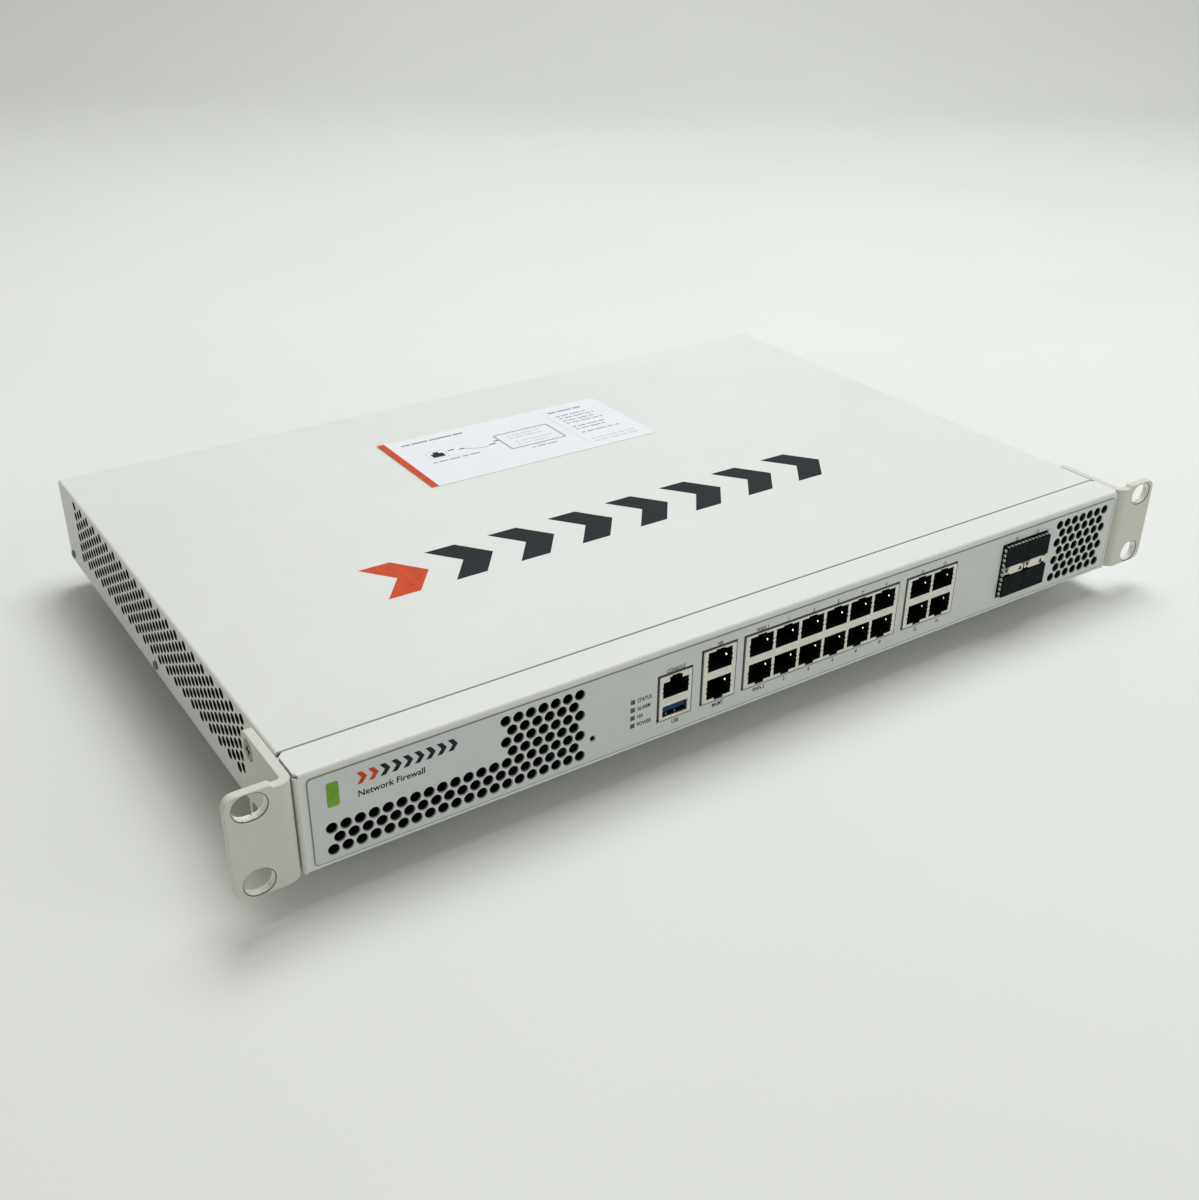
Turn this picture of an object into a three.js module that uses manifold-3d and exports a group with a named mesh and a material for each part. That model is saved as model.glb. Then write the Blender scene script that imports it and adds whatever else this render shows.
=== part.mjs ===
// A rack-mount network security appliance, one rack unit high: a sheet steel case with
// bolt-on rack ears, a row of network jacks on the front, boards, fans and a power supply.
// Millimetres. +X is to the right seen from the front, +Y to the back, +Z up.
// Inside the chassis group, y is measured from the front face and z from the case's underside.
import * as THREE from "three";
import { mergeGeometries, mergeVertices } from "three/addons/utils/BufferGeometryUtils.js";
import Module from "manifold-3d";

const wasm = await Module();
wasm.setup();

// ---------- driving dimensions ----------

const GAP = 0.3; // clearance left between pieces that meet
const SHEET = 1.2; // steel sheet
const CASE = { halfWidth: 216, depth: 290, height: 42.7 };
const INNER = CASE.halfWidth - SHEET;
const FOOT = { height: 14.5, radius: 10, taper: 1.2, bore: 3.6, recess: 4, x: 188, front: 34, back: 260, sides: 24 };
const LIP = 15.9; // how far the front panel folds back over the top and the sides
const SEAM = 0.9; // joint line between the front panel's lip and the cover
const COVER_FRONT = LIP + SEAM;
const BOARD = { bottom: 7.4, thick: 1.6 };
const BOARD_TOP = BOARD.bottom + BOARD.thick;
const ON_BOARD = BOARD_TOP + GAP; // where a separate piece stands on a board

const EAR = {
  outer: 241.3,
  thick: 3.7,
  inner: CASE.halfWidth + GAP,
  front: -1.3,
  length: 39.2,
  bottom: -0.1,
  height: 43.7,
  bend: 5,
  corner: 4.5,
  holeX: 232.5,
  holeSpacing: 31.75,
  upperHole: [12.4, 10.2],
  lowerHole: [11.2, 10.2],
};
const EAR_MIDDLE = EAR.bottom + EAR.height / 2;
const EAR_SCREW = { y: 32.8, z: [35.8, 7.6], head: 4, headDepth: 2.3, shank: 2 };
const COVER_SCREW = { y: [158.5, 284], z: 4.8, head: 2.6, headDepth: 0.9, shank: 1.4 };
const TAB = { front: 20, back: 44, top: 39 }; // upright tabs that the ear screws bite into
const FLANGE_TOP = 8.9;
const PAN_LIP = 4.4; // upturned front edge of the base pan

const VENT = { radius: 2, pitchX: 5.45, pitchZ: 4.7, z: 6.95 };
const LEFT_VENT = { x: -204.5, long: 20, longRows: 3, short: 7 };
const RIGHT_VENT = { x: 173.8, wide: 7 };
const VENT_ROWS = 7;
const SIDE_VENT = { y: 48.5, pitch: 5.13, columns: 43, width: 3.4, longZ: [9.3, 42.7 - 2.4], shortZ: [12.4, 39.8] };

const PORT = { pitch: 13.97, width: 12.4, side: 2.45, face: -0.7, depth: 26, pocket: 17, latch: 4.6 };
const PORT_BLOCK = { bottom: 9.5, top: 34.4 };
const UPPER_PORT = { bottom: 24.2, top: 33.45 };
const LOWER_PORT = { bottom: 11, top: 20.5 };
const PORT_BLOCKS = [
  { name: "management_jack", x: -33, columns: 1 },
  { name: "network_jack_twelve", x: 23.8, columns: 6 },
  { name: "network_jack_four", x: 88.2, columns: 2 },
];
const CONSOLE = { x: -55.2, width: 15.8, bottom: 9.3, top: 29.7, opening: 12.6 };
const CONSOLE_PORT = { bottom: 19.5, top: 26.95, stepTop: 28.9, step: 6.3, latch: 4.1 };
const USB_PORT = { bottom: 10.4, top: 15.6, pocket: 15, tongue: [13.2, 15], tongueWidth: 11 };

const CAGE = { x: 150.15, width: 29.7, bottom: 7.6, top: 34, front: -1.9, collar: 11, back: 50, wall: 0.5 };
const CAGE_POCKET = { width: 13.8, height: 8.4, pitch: 14.8, depth: 46 };
const CAGE_ROWS = [
  { level: "lower", pocket: 9.8, face: [7.8, 18.6] },
  { level: "upper", pocket: 24.4, face: [23.6, 33.8] },
];
const STRIP = { bottom: 18.9, top: 23.3, depth: 12 };
const PLUG = { faceWidth: 14.6, face: 0.6, length: 14, clearance: 0.3 };

const LIGHT = { x: -76.05, z: 11.7, pitch: 3.75, size: 2, count: 4, clearance: 0.2 };
const RESET = { x: -95, z: 12.9, hole: 1, button: 1.7, stem: 0.9, front: 3.6, back: 7.2 };
const OVERLAY = { x: [-212, 213.5], z: [2.2, 39.8], thick: 0.3, lift: 0.05, margin: 0.6 };
const LABEL = { x: [-66.6, 67.5], y: [183.4, 244.6], thick: 0.25, lift: 0.05 };

const MAIN_BOARD = { x: [-112, 206], y: [5, 214] };
const POWER_BOARD = { x: [-208, -122], y: [92, 256] };
const STANDOFF = { radius: 3, sides: 10 };
const MAIN_STANDOFFS = [[-104, 40], [-104, 205], [48, 40], [48, 205], [198, 60], [198, 205]];
const POWER_STANDOFFS = [[-200, 100], [-130, 100], [-200, 248], [-130, 248]];

const FAN = { size: 39.8, depth: 28, x: [62, 108, 154], front: 259.9, bore: 18.6, hub: 10, tip: 17.9, blades: 7 };
const FAN_MIDDLE = SHEET + 0.25 + FAN.size / 2;
const REAR = { front: 288.3, bottom: SHEET + GAP, top: CASE.height - SHEET - GAP };
const INLET = { x: -168, z: 21, width: 27.4, height: 20, flangeWidth: 31, flangeHeight: 24, flange: 2.2, depth: 20 };
const INLET_SOCKET = { width: 24, height: 16.4, depth: 17 };
const GROUND = { x: -130, z: 21, head: 4, headDepth: 2.2, shank: 2 };

const FRONT_MOST = CAGE.front - GAP - PLUG.face;
const BACK_MOST = REAR.front + SHEET + GAP + INLET.flange;

// ---------- solids ----------

// A closed three.js geometry as a solid.
function solid(geometry) {
  const bare = geometry.clone();
  bare.deleteAttribute("normal");
  bare.deleteAttribute("uv");
  const merged = mergeVertices(bare, 1e-4);
  return new wasm.Manifold(
    new wasm.Mesh({
      numProp: 3,
      vertProperties: new Float32Array(merged.attributes.position.array),
      triVerts: new Uint32Array(merged.index.array),
    }),
  );
}

function block(x0, x1, y0, y1, z0, z1) {
  const box = new THREE.BoxGeometry(x1 - x0, y1 - y0, z1 - z0);
  return solid(box.translate((x0 + x1) / 2, (y0 + y1) / 2, (z0 + z1) / 2));
}

const ALONG = {
  // outline (x, z) drawn out along +Y, (y, z) along +X and (x, y) along +Z
  y: new THREE.Matrix4().set(1, 0, 0, 0, 0, 0, -1, 0, 0, 1, 0, 0, 0, 0, 0, 1),
  x: new THREE.Matrix4().set(0, 0, 1, 0, 1, 0, 0, 0, 0, 1, 0, 0, 0, 0, 0, 1),
  z: new THREE.Matrix4(),
};

// An outline drawn out from one place to another along an axis, as a geometry.
function drawnGeometry(axis, from, to, outline) {
  const shape = outline instanceof THREE.Shape ? outline : new THREE.Shape(outline);
  const geometry = new THREE.ExtrudeGeometry(shape, { depth: to - from, bevelEnabled: false, curveSegments: 3 });
  const start = axis === "y" ? [0, to, 0] : axis === "x" ? [from, 0, 0] : [0, 0, from];
  return geometry.applyMatrix4(ALONG[axis]).translate(...start);
}

// The same as a solid, with holes cut right through it.
function drawn(axis, from, to, outline, holes = []) {
  const made = solid(drawnGeometry(axis, from, to, outline));
  if (!holes.length) return made;
  return made.subtract(solid(mergeGeometries(holes.map((hole) => drawnGeometry(axis, from - 1, to + 1, hole)))));
}

function rectangle(a0, a1, b0, b1) {
  return [[a0, b0], [a1, b0], [a1, b1], [a0, b1]].map(([a, b]) => new THREE.Vector2(a, b));
}

function polygon(a, b, radius, sides) {
  const points = [];
  for (let i = 0; i < sides; i++) {
    const turn = (2 * Math.PI * (i + 0.5)) / sides;
    points.push(new THREE.Vector2(a + radius * Math.cos(turn), b + radius * Math.sin(turn)));
  }
  return points;
}

function rounded(a0, a1, b0, b1, r) {
  const shape = new THREE.Shape();
  shape.moveTo(a0 + r, b0);
  shape.lineTo(a1 - r, b0);
  shape.absarc(a1 - r, b0 + r, r, -Math.PI / 2, 0);
  shape.lineTo(a1, b1 - r);
  shape.absarc(a1 - r, b1 - r, r, 0, Math.PI / 2);
  shape.lineTo(a0 + r, b1);
  shape.absarc(a0 + r, b1 - r, r, Math.PI / 2, Math.PI);
  shape.lineTo(a0, b0 + r);
  shape.absarc(a0 + r, b0 + r, r, Math.PI, 1.5 * Math.PI);
  return shape;
}

function rod(axis, from, to, a, b, radius, sides = 16) {
  return drawn(axis, from, to, polygon(a, b, radius, sides));
}

// A round wire through a few points.
function wire(points, radius, steps = 18, sides = 8) {
  const path = new THREE.CatmullRomCurve3(points.map((p) => new THREE.Vector3(...p)), false, "centripetal");
  const section = new THREE.Shape(polygon(0, 0, radius, sides));
  return solid(new THREE.ExtrudeGeometry(section, { steps, extrudePath: path, bevelEnabled: false }));
}

const join = (first, ...others) => others.reduce((all, next) => all.add(next), first);
const cut = (first, ...others) => others.reduce((all, next) => all.subtract(next), first);

// ---------- materials ----------

const material = (color, roughness, metalness = 0) =>
  new THREE.MeshStandardMaterial({ color, roughness, metalness, flatShading: true });
const PAINT = material(0xdadcd8, 0.5);
const EAR_PAINT = material(0xcfd0ca, 0.55);
const FILM = material(0xb6bab8, 0.4);
const SHIELD = material(0xcbc7b8, 0.4, 0.6);
const STEEL = material(0x8d928c, 0.35, 0.9);
const ALUMINIUM = material(0xb9bcbe, 0.4, 0.9);
const GREEN_BOARD = material(0x1f6b3d, 0.5);
const BROWN_BOARD = material(0xa8864f, 0.6);
const BLACK = material(0x16181a, 0.5);
const SLATE = material(0x222a33, 0.5);
const CREAM = material(0xe2ddcc, 0.5);
const CLEAR = material(0xdfe3e2, 0.2);
const WHITE = material(0xf1f2f2, 0.6);
const RUBBER = material(0x2a2a2a, 0.9);
const YELLOW = material(0xd9b23a, 0.6);
const RED = material(0x9a2b22, 0.5);

// ---------- scene graph ----------

const root = new THREE.Group();
const chassis = new THREE.Group();
chassis.position.set(0, -(FRONT_MOST + BACK_MOST) / 2, FOOT.height);
root.add(chassis);

// Adds a solid as a named mesh to the chassis, or to another group.
function piece(name, made, look, at = [0, 0, 0], group = chassis) {
  const mesh = made.getMesh();
  const geometry = new THREE.BufferGeometry();
  geometry.setAttribute("position", new THREE.BufferAttribute(mesh.vertProperties, 3));
  geometry.setIndex(new THREE.BufferAttribute(mesh.triVerts, 1));
  const node = new THREE.Mesh(geometry, look);
  node.name = name;
  node.position.set(...at);
  group.add(node);
  return node;
}

// ---------- case ----------

// The centres of every round vent hole in the front.
function ventCentres() {
  const centres = [];
  const last = LEFT_VENT.x + (LEFT_VENT.long - 1) * VENT.pitchX;
  for (let row = 0; row < VENT_ROWS; row++) {
    const z = VENT.z + row * VENT.pitchZ;
    const shifted = row % 2;
    const left = (row < LEFT_VENT.longRows ? LEFT_VENT.long : LEFT_VENT.short) - shifted;
    for (let i = 0; i < left; i++) centres.push([last - (i + shifted / 2) * VENT.pitchX, z]);
    for (let i = 0; i < RIGHT_VENT.wide - shifted; i++)
      centres.push([RIGHT_VENT.x + (i + shifted / 2) * VENT.pitchX, z]);
  }
  return centres;
}

// The cut-outs that the jacks and the pluggable-module cage stand in, grown by a margin.
function jackCutouts(margin) {
  const outlines = PORT_BLOCKS.map(({ x, columns }) => {
    const half = blockWidth(columns) / 2 + margin;
    return rectangle(x - half, x + half, PORT_BLOCK.bottom - margin, PORT_BLOCK.top + margin);
  });
  const half = CONSOLE.width / 2 + margin;
  outlines.push(rectangle(CONSOLE.x - half, CONSOLE.x + half, CONSOLE.bottom - margin, CONSOLE.top + margin));
  const side = CAGE.width / 2 + margin;
  outlines.push(rectangle(CAGE.x - side, CAGE.x + side, CAGE.bottom - margin, CAGE.top + margin));
  return outlines;
}

function lightHoles(margin) {
  return Array.from({ length: LIGHT.count }, (_, i) => {
    const half = LIGHT.size / 2 + margin;
    const z = LIGHT.z + i * LIGHT.pitch;
    return rectangle(LIGHT.x - half, LIGHT.x + half, z - half, z + half);
  });
}

const blockWidth = (columns) => (columns - 1) * PORT.pitch + PORT.width + 2 * PORT.side - 0.6;

function frontPanel() {
  const holes = [
    ...ventCentres().map(([x, z]) => polygon(x, z, VENT.radius, 6)),
    ...jackCutouts(GAP),
    ...lightHoles(LIGHT.clearance),
    polygon(RESET.x, RESET.z, RESET.hole, 8),
  ];
  const wall = drawn("y", 0, SHEET, rectangle(-CASE.halfWidth, CASE.halfWidth, 0, CASE.height), holes);
  const lip = block(-CASE.halfWidth, CASE.halfWidth, 0, LIP, CASE.height - SHEET, CASE.height);
  const sides = [-CASE.halfWidth, INNER].map((x) => block(x, x + SHEET, 0, LIP, 0, CASE.height));
  return join(wall, lip, ...sides);
}

// The printed film on the front, open over both vent fields.
function overlay() {
  const reach = VENT.radius + OVERLAY.margin;
  const top = VENT.z + (VENT_ROWS - 1) * VENT.pitchZ + reach;
  const right = LEFT_VENT.x + (LEFT_VENT.long - 1) * VENT.pitchX + reach;
  const inner = right - (LEFT_VENT.short - 1) * VENT.pitchX - 2 * reach;
  const step = VENT.z + (LEFT_VENT.longRows - 1) * VENT.pitchZ + reach;
  const leftWindow = [
    [LEFT_VENT.x - reach, VENT.z - reach],
    [right, VENT.z - reach],
    [right, top],
    [inner, top],
    [inner, step],
    [LEFT_VENT.x - reach, step],
  ].map(([x, z]) => new THREE.Vector2(x, z));
  const rightEnd = RIGHT_VENT.x + (RIGHT_VENT.wide - 1) * VENT.pitchX + reach;
  const holes = [
    leftWindow,
    rectangle(RIGHT_VENT.x - reach, rightEnd, VENT.z - reach, top),
    ...jackCutouts(GAP + OVERLAY.margin),
    ...lightHoles(LIGHT.clearance),
    polygon(RESET.x, RESET.z, RESET.hole + OVERLAY.margin, 8),
  ];
  const back = -OVERLAY.lift;
  return drawn("y", back - OVERLAY.thick, back, rectangle(...OVERLAY.x, ...OVERLAY.z), holes);
}

// One side of the cover, with a slot for each column of vent holes.
function coverSide(x) {
  const holes = Array.from({ length: SIDE_VENT.columns }, (_, i) => {
    const y = SIDE_VENT.y + i * SIDE_VENT.pitch;
    const [low, high] = i % 2 ? SIDE_VENT.shortZ : SIDE_VENT.longZ;
    return rectangle(y - SIDE_VENT.width / 2, y + SIDE_VENT.width / 2, low, high);
  });
  for (const z of EAR_SCREW.z) holes.push(polygon(EAR_SCREW.y, z, EAR_SCREW.shank + GAP, 8));
  for (const y of COVER_SCREW.y) holes.push(polygon(y, COVER_SCREW.z, COVER_SCREW.shank + GAP, 8));
  return drawn("x", x, x + SHEET, rectangle(COVER_FRONT, CASE.depth, GAP, CASE.height), holes);
}

function topCover() {
  const top = block(-CASE.halfWidth, CASE.halfWidth, COVER_FRONT, CASE.depth, CASE.height - SHEET, CASE.height);
  return join(top, coverSide(-CASE.halfWidth), coverSide(INNER));
}

function basePan() {
  const half = INNER - GAP;
  const front = SHEET + GAP;
  const floor = block(-half, half, front, CASE.depth - 0.2, 0, SHEET);
  const lip = block(-half, half, front, front + SHEET, 0, PAN_LIP);
  const made = [floor, lip];
  for (const x of [-half, half - SHEET]) {
    const outline = [
      [front, 0],
      [CASE.depth - 0.2, 0],
      [CASE.depth - 0.2, FLANGE_TOP],
      [TAB.back, FLANGE_TOP],
      [TAB.back, TAB.top],
      [TAB.front, TAB.top],
      [TAB.front, FLANGE_TOP],
      [front, FLANGE_TOP],
    ].map(([y, z]) => new THREE.Vector2(y, z));
    const holes = EAR_SCREW.z.map((z) => polygon(EAR_SCREW.y, z, EAR_SCREW.shank + GAP, 8));
    for (const y of COVER_SCREW.y) holes.push(polygon(y, COVER_SCREW.z, COVER_SCREW.shank + GAP, 8));
    made.push(drawn("x", x, x + SHEET, outline, holes));
  }
  for (const [x, y] of [...MAIN_STANDOFFS, ...POWER_STANDOFFS])
    made.push(rod("z", 0, BOARD.bottom - GAP, x, y, STANDOFF.radius, STANDOFF.sides));
  return join(...made);
}

// The rear wall, with a finger guard of curved slots in front of each fan.
function rearPanel() {
  const holes = [];
  const centreWidth = INLET.width / 2 + GAP;
  const centreHeight = INLET.height / 2 + GAP;
  holes.push(
    rectangle(INLET.x - centreWidth, INLET.x + centreWidth, INLET.z - centreHeight, INLET.z + centreHeight),
    polygon(GROUND.x, GROUND.z, GROUND.shank + GAP, 8),
  );
  for (const x of FAN.x)
    for (const [inner, outer] of [[5.5, 9], [11.5, 15.5]])
      for (let quarter = 0; quarter < 4; quarter++) {
        const from = (quarter * Math.PI) / 2 + 0.16;
        const to = ((quarter + 1) * Math.PI) / 2 - 0.16;
        const slot = new THREE.Shape();
        slot.absarc(x, FAN_MIDDLE, outer, from, to, false);
        slot.absarc(x, FAN_MIDDLE, inner, to, from, true);
        holes.push(slot);
      }
  const half = INNER - 2 * GAP - SHEET;
  const wall = drawn("y", REAR.front, REAR.front + SHEET, rectangle(-half, half, REAR.bottom, REAR.top), holes);
  const foot = block(-half, GROUND.x + 60, REAR.front - 8, REAR.front + SHEET, REAR.bottom, REAR.bottom + SHEET);
  return join(wall, foot);
}

piece("base_pan", basePan(), PAINT);
piece("front_panel", frontPanel(), PAINT);
piece("front_overlay", overlay(), FILM);
piece("top_cover", topCover(), PAINT);
piece("rear_panel", rearPanel(), PAINT);
piece(
  "top_label",
  block(...LABEL.x, ...LABEL.y, 0, LABEL.thick),
  WHITE,
  [0, 0, CASE.height + LABEL.lift],
);

// A tapered rubber foot with a recess below for the screw that holds it.
function rubberFoot() {
  const top = FOOT.height - GAP;
  const profile = [
    [0, FOOT.recess],
    [FOOT.bore, FOOT.recess],
    [FOOT.bore, 0],
    [FOOT.radius - FOOT.taper, 0],
    [FOOT.radius, top],
    [0, top],
  ].map(([radius, height]) => new THREE.Vector2(radius, height));
  return solid(new THREE.LatheGeometry(profile, FOOT.sides).rotateX(Math.PI / 2));
}

for (const [side, x] of [["left", -FOOT.x], ["right", FOOT.x]])
  for (const [end, y] of [["front", FOOT.front], ["rear", FOOT.back]])
    piece(`foot_${end}_${side}`, rubberFoot(), RUBBER, [x, y, -FOOT.height]);

// ---------- rack ears ----------

// The left ear's bend, seen from above: a flange beside the case and one facing the rack.
function earSection() {
  const inside = EAR.bend - EAR.thick;
  const side = -EAR.inner - EAR.thick;
  const back = EAR.front + EAR.thick;
  const shape = new THREE.Shape();
  shape.moveTo(-EAR.outer, EAR.front);
  shape.lineTo(-EAR.inner - EAR.bend, EAR.front);
  shape.absarc(-EAR.inner - EAR.bend, EAR.front + EAR.bend, EAR.bend, -Math.PI / 2, 0);
  shape.lineTo(-EAR.inner, EAR.length);
  shape.lineTo(side, EAR.length);
  shape.lineTo(side, back + inside);
  shape.absarc(side - inside, back + inside, inside, 0, -Math.PI / 2, true);
  shape.lineTo(-EAR.outer, back);
  return shape;
}

// The left ear: the right one is its mirror image.
function ear() {
  const [low, high] = [EAR.bottom, EAR.bottom + EAR.height];
  const body = drawn("z", low, high, earSection());
  const reach = EAR.corner + EAR.thick;
  const corners = rounded(-EAR.outer, -EAR.inner + reach, low, high, EAR.corner);
  const envelope = drawn("y", EAR.front - 1, EAR.length + 1, corners);
  const half = EAR.holeSpacing / 2;
  const holes = [[EAR.upperHole, half], [EAR.lowerHole, -half]].map(([[width, height], offset]) => {
    const z = EAR_MIDDLE + offset;
    const r = height / 2 - 0.01;
    const outline = rounded(-EAR.holeX - width / 2, -EAR.holeX + width / 2, z - height / 2, z + height / 2, r);
    return drawn("y", EAR.front - 1, EAR.front + EAR.thick + 1, outline);
  });
  const outside = -EAR.inner - EAR.thick;
  for (const z of EAR_SCREW.z) {
    const sink = EAR_SCREW.headDepth + GAP;
    holes.push(rod("x", outside - 1, outside + sink, EAR_SCREW.y, z, EAR_SCREW.head + GAP, 20));
    holes.push(rod("x", outside - 1, -EAR.inner + 1, EAR_SCREW.y, z, EAR_SCREW.shank + GAP, 12));
  }
  return cut(body.intersect(envelope), ...holes);
}

// A screw that points along +X from a head at x = 0.
function sideScrew({ head, headDepth, shank }, length) {
  const made = join(
    rod("x", 0, headDepth, 0, 0, head, 16),
    rod("x", headDepth - 0.2, length, 0, 0, shank, 10),
  );
  return cut(made, rod("x", -1, Math.min(1.4, headDepth - 0.4), 0, 0, head * 0.42, 6));
}

// The ears and the side screws, each right-hand one a mirror image of the left.
for (const [side, flip] of [["left", 1], ["right", -1]]) {
  const outside = -flip * (EAR.inner + EAR.thick);
  const proud = -flip * (CASE.halfWidth + COVER_SCREW.headDepth + 0.1);
  const made = [piece(`rack_ear_${side}`, ear(), EAR_PAINT)];
  for (const [level, z] of [["upper", EAR_SCREW.z[0]], ["lower", EAR_SCREW.z[1]]])
    made.push(piece(`ear_screw_${side}_${level}`, sideScrew(EAR_SCREW, 9), STEEL, [outside, EAR_SCREW.y, z]));
  for (const [place, y] of [["middle", COVER_SCREW.y[0]], ["rear", COVER_SCREW.y[1]]])
    made.push(piece(`cover_screw_${side}_${place}`, sideScrew(COVER_SCREW, 6), STEEL, [proud, y, COVER_SCREW.z]));
  for (const node of made) node.scale.x = flip;
}

// ---------- jacks ----------

// The opening of one network jack, with its latch notch towards the top or the bottom.
function jackOpening(x, { bottom, top }, latchUp) {
  const half = PORT.width / 2;
  const mouth = block(x - half, x + half, PORT.face - 1, PORT.pocket, bottom, top);
  const notch = latchUp
    ? [top - 0.5, PORT_BLOCK.top + 1]
    : [PORT_BLOCK.bottom + 0.6, bottom + 0.5];
  const latch = block(x - PORT.latch / 2, x + PORT.latch / 2, PORT.face - 1, 9, ...notch);
  return join(mouth, latch);
}

// Two rows of network jacks in one shielded block, the upper row latching at the top.
function jackBlock(columns) {
  const half = blockWidth(columns) / 2;
  const body = block(-half, half, PORT.face, PORT.depth, PORT_BLOCK.bottom, PORT_BLOCK.top);
  const holes = [];
  for (let i = 0; i < columns; i++) {
    const x = (i - (columns - 1) / 2) * PORT.pitch;
    holes.push(jackOpening(x, UPPER_PORT, true), jackOpening(x, LOWER_PORT, false));
  }
  return cut(body, ...holes);
}

// A network-style console jack above a flat serial socket with its tongue.
function consoleJack() {
  const half = CONSOLE.width / 2;
  const body = block(-half, half, PORT.face, PORT.depth, CONSOLE.bottom, CONSOLE.top);
  const mouth = CONSOLE.opening / 2;
  const port = CONSOLE_PORT;
  const profile = [
    [-mouth, port.bottom],
    [mouth, port.bottom],
    [mouth, port.top],
    [port.step / 2, port.top],
    [port.step / 2, port.stepTop],
    [port.latch / 2, port.stepTop],
    [port.latch / 2, CONSOLE.top + 1],
    [-port.latch / 2, CONSOLE.top + 1],
    [-port.latch / 2, port.stepTop],
    [-port.step / 2, port.stepTop],
    [-port.step / 2, port.top],
    [-mouth, port.top],
  ].map(([x, z]) => new THREE.Vector2(x, z));
  const socket = drawn("y", PORT.face - 1, PORT.pocket, profile);
  const serial = block(-mouth, mouth, PORT.face - 1, USB_PORT.pocket, USB_PORT.bottom, USB_PORT.top);
  const wide = USB_PORT.tongueWidth / 2;
  const tongue = block(-wide, wide, 0.8, USB_PORT.pocket + 1, ...USB_PORT.tongue);
  return join(cut(body, socket, serial), tongue);
}

for (const { name, x, columns } of PORT_BLOCKS) piece(name, jackBlock(columns), SHIELD, [x, 0, 0]);
piece("console_usb_jack", consoleJack(), SHIELD, [CONSOLE.x, 0, 0]);

// ---------- pluggable-module cage ----------

const pocketX = [-CAGE_POCKET.pitch / 2, CAGE_POCKET.pitch / 2];

// Four module pockets behind a taller collar that fills the cut-out in the front panel.
function cage() {
  const half = CAGE.width / 2;
  const body = join(
    block(-half, half, CAGE.front, CAGE.collar, CAGE.bottom, CAGE.top),
    block(-half, half, CAGE.collar - 1, CAGE.back, ON_BOARD, CAGE.top),
  );
  const inside = half - CAGE.wall;
  const holes = [block(-inside, inside, CAGE.front - 1, STRIP.depth, STRIP.bottom - GAP, STRIP.top + GAP)];
  for (const x of pocketX)
    for (const { pocket } of CAGE_ROWS) {
      const side = CAGE_POCKET.width / 2;
      const top = pocket + CAGE_POCKET.height;
      holes.push(block(x - side, x + side, CAGE.front - 1, CAGE_POCKET.depth, pocket, top));
    }
  return cut(body, ...holes);
}

// A dust plug: a flat face in front of the cage and a body that fills the mouth.
function dustPlug({ pocket, face }) {
  const half = PLUG.faceWidth / 2;
  const side = CAGE_POCKET.width / 2 - PLUG.clearance;
  const low = pocket + PLUG.clearance;
  const high = pocket + CAGE_POCKET.height - PLUG.clearance;
  return join(
    block(-half, half, FRONT_MOST, FRONT_MOST + PLUG.face, ...face),
    block(-side, side, FRONT_MOST + 0.1, PLUG.length, low, high),
  );
}

piece("module_cage", cage(), SHIELD, [CAGE.x, 0, 0]);
piece(
  "module_indicator_strip",
  block(
    -CAGE.width / 2 + CAGE.wall + GAP,
    CAGE.width / 2 - CAGE.wall - GAP,
    CAGE.front - 0.4,
    STRIP.depth - GAP,
    STRIP.bottom,
    STRIP.top,
  ),
  CREAM,
  [CAGE.x, 0, 0],
);
for (const row of CAGE_ROWS)
  pocketX.forEach((x, column) =>
    piece(`dust_plug_${row.level}_${column ? "right" : "left"}`, dustPlug(row), SLATE, [CAGE.x + x, 0, 0]),
  );

// ---------- indicators and reset button ----------

function lightPipe() {
  const half = LIGHT.size / 2;
  const bars = Array.from({ length: LIGHT.count }, (_, i) => {
    const z = LIGHT.z + i * LIGHT.pitch;
    return block(-half, half, -0.4, 4, z - half, z + half);
  });
  const top = LIGHT.z + (LIGHT.count - 1) * LIGHT.pitch + half + 0.6;
  return join(block(-half - 1, half + 1, 3, 13, ON_BOARD, top), ...bars);
}

piece("status_light_pipe", lightPipe(), CLEAR, [LIGHT.x, 0, 0]);
piece(
  "reset_switch",
  cut(
    block(-3.2, 3.2, RESET.back + GAP, 13, ON_BOARD, RESET.z + 3.4),
    rod("y", RESET.back, 10.5, 0, RESET.z, RESET.stem + GAP, 10),
  ),
  BLACK,
  [RESET.x, 0, 0],
);
piece(
  "reset_button",
  join(
    rod("y", RESET.front, RESET.back - 0.4, 0, 0, RESET.button, 14),
    rod("y", RESET.back - 0.6, 9.4, 0, 0, RESET.stem, 10),
  ),
  BLACK,
  [RESET.x, 0, RESET.z],
);

// ---------- main board ----------

const MEMORY = { x: [-100, -32], y: [146, 176], z: 11.8, thick: 1 };
const STORAGE = { x: [20, 42], y: [118, 198], z: 11.8, thick: 0.9 };
const BATTERY = { x: 128, y: 178, radius: 10, thick: 3.2 };
const PROCESSOR = { x: -18, y: 92, size: 35 };
const NETWORK_CHIP = { x: 88, y: 92, size: 31 };
const HEADERS = FAN.x.map((x) => x + 4); // where each fan's leads reach the board

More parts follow.
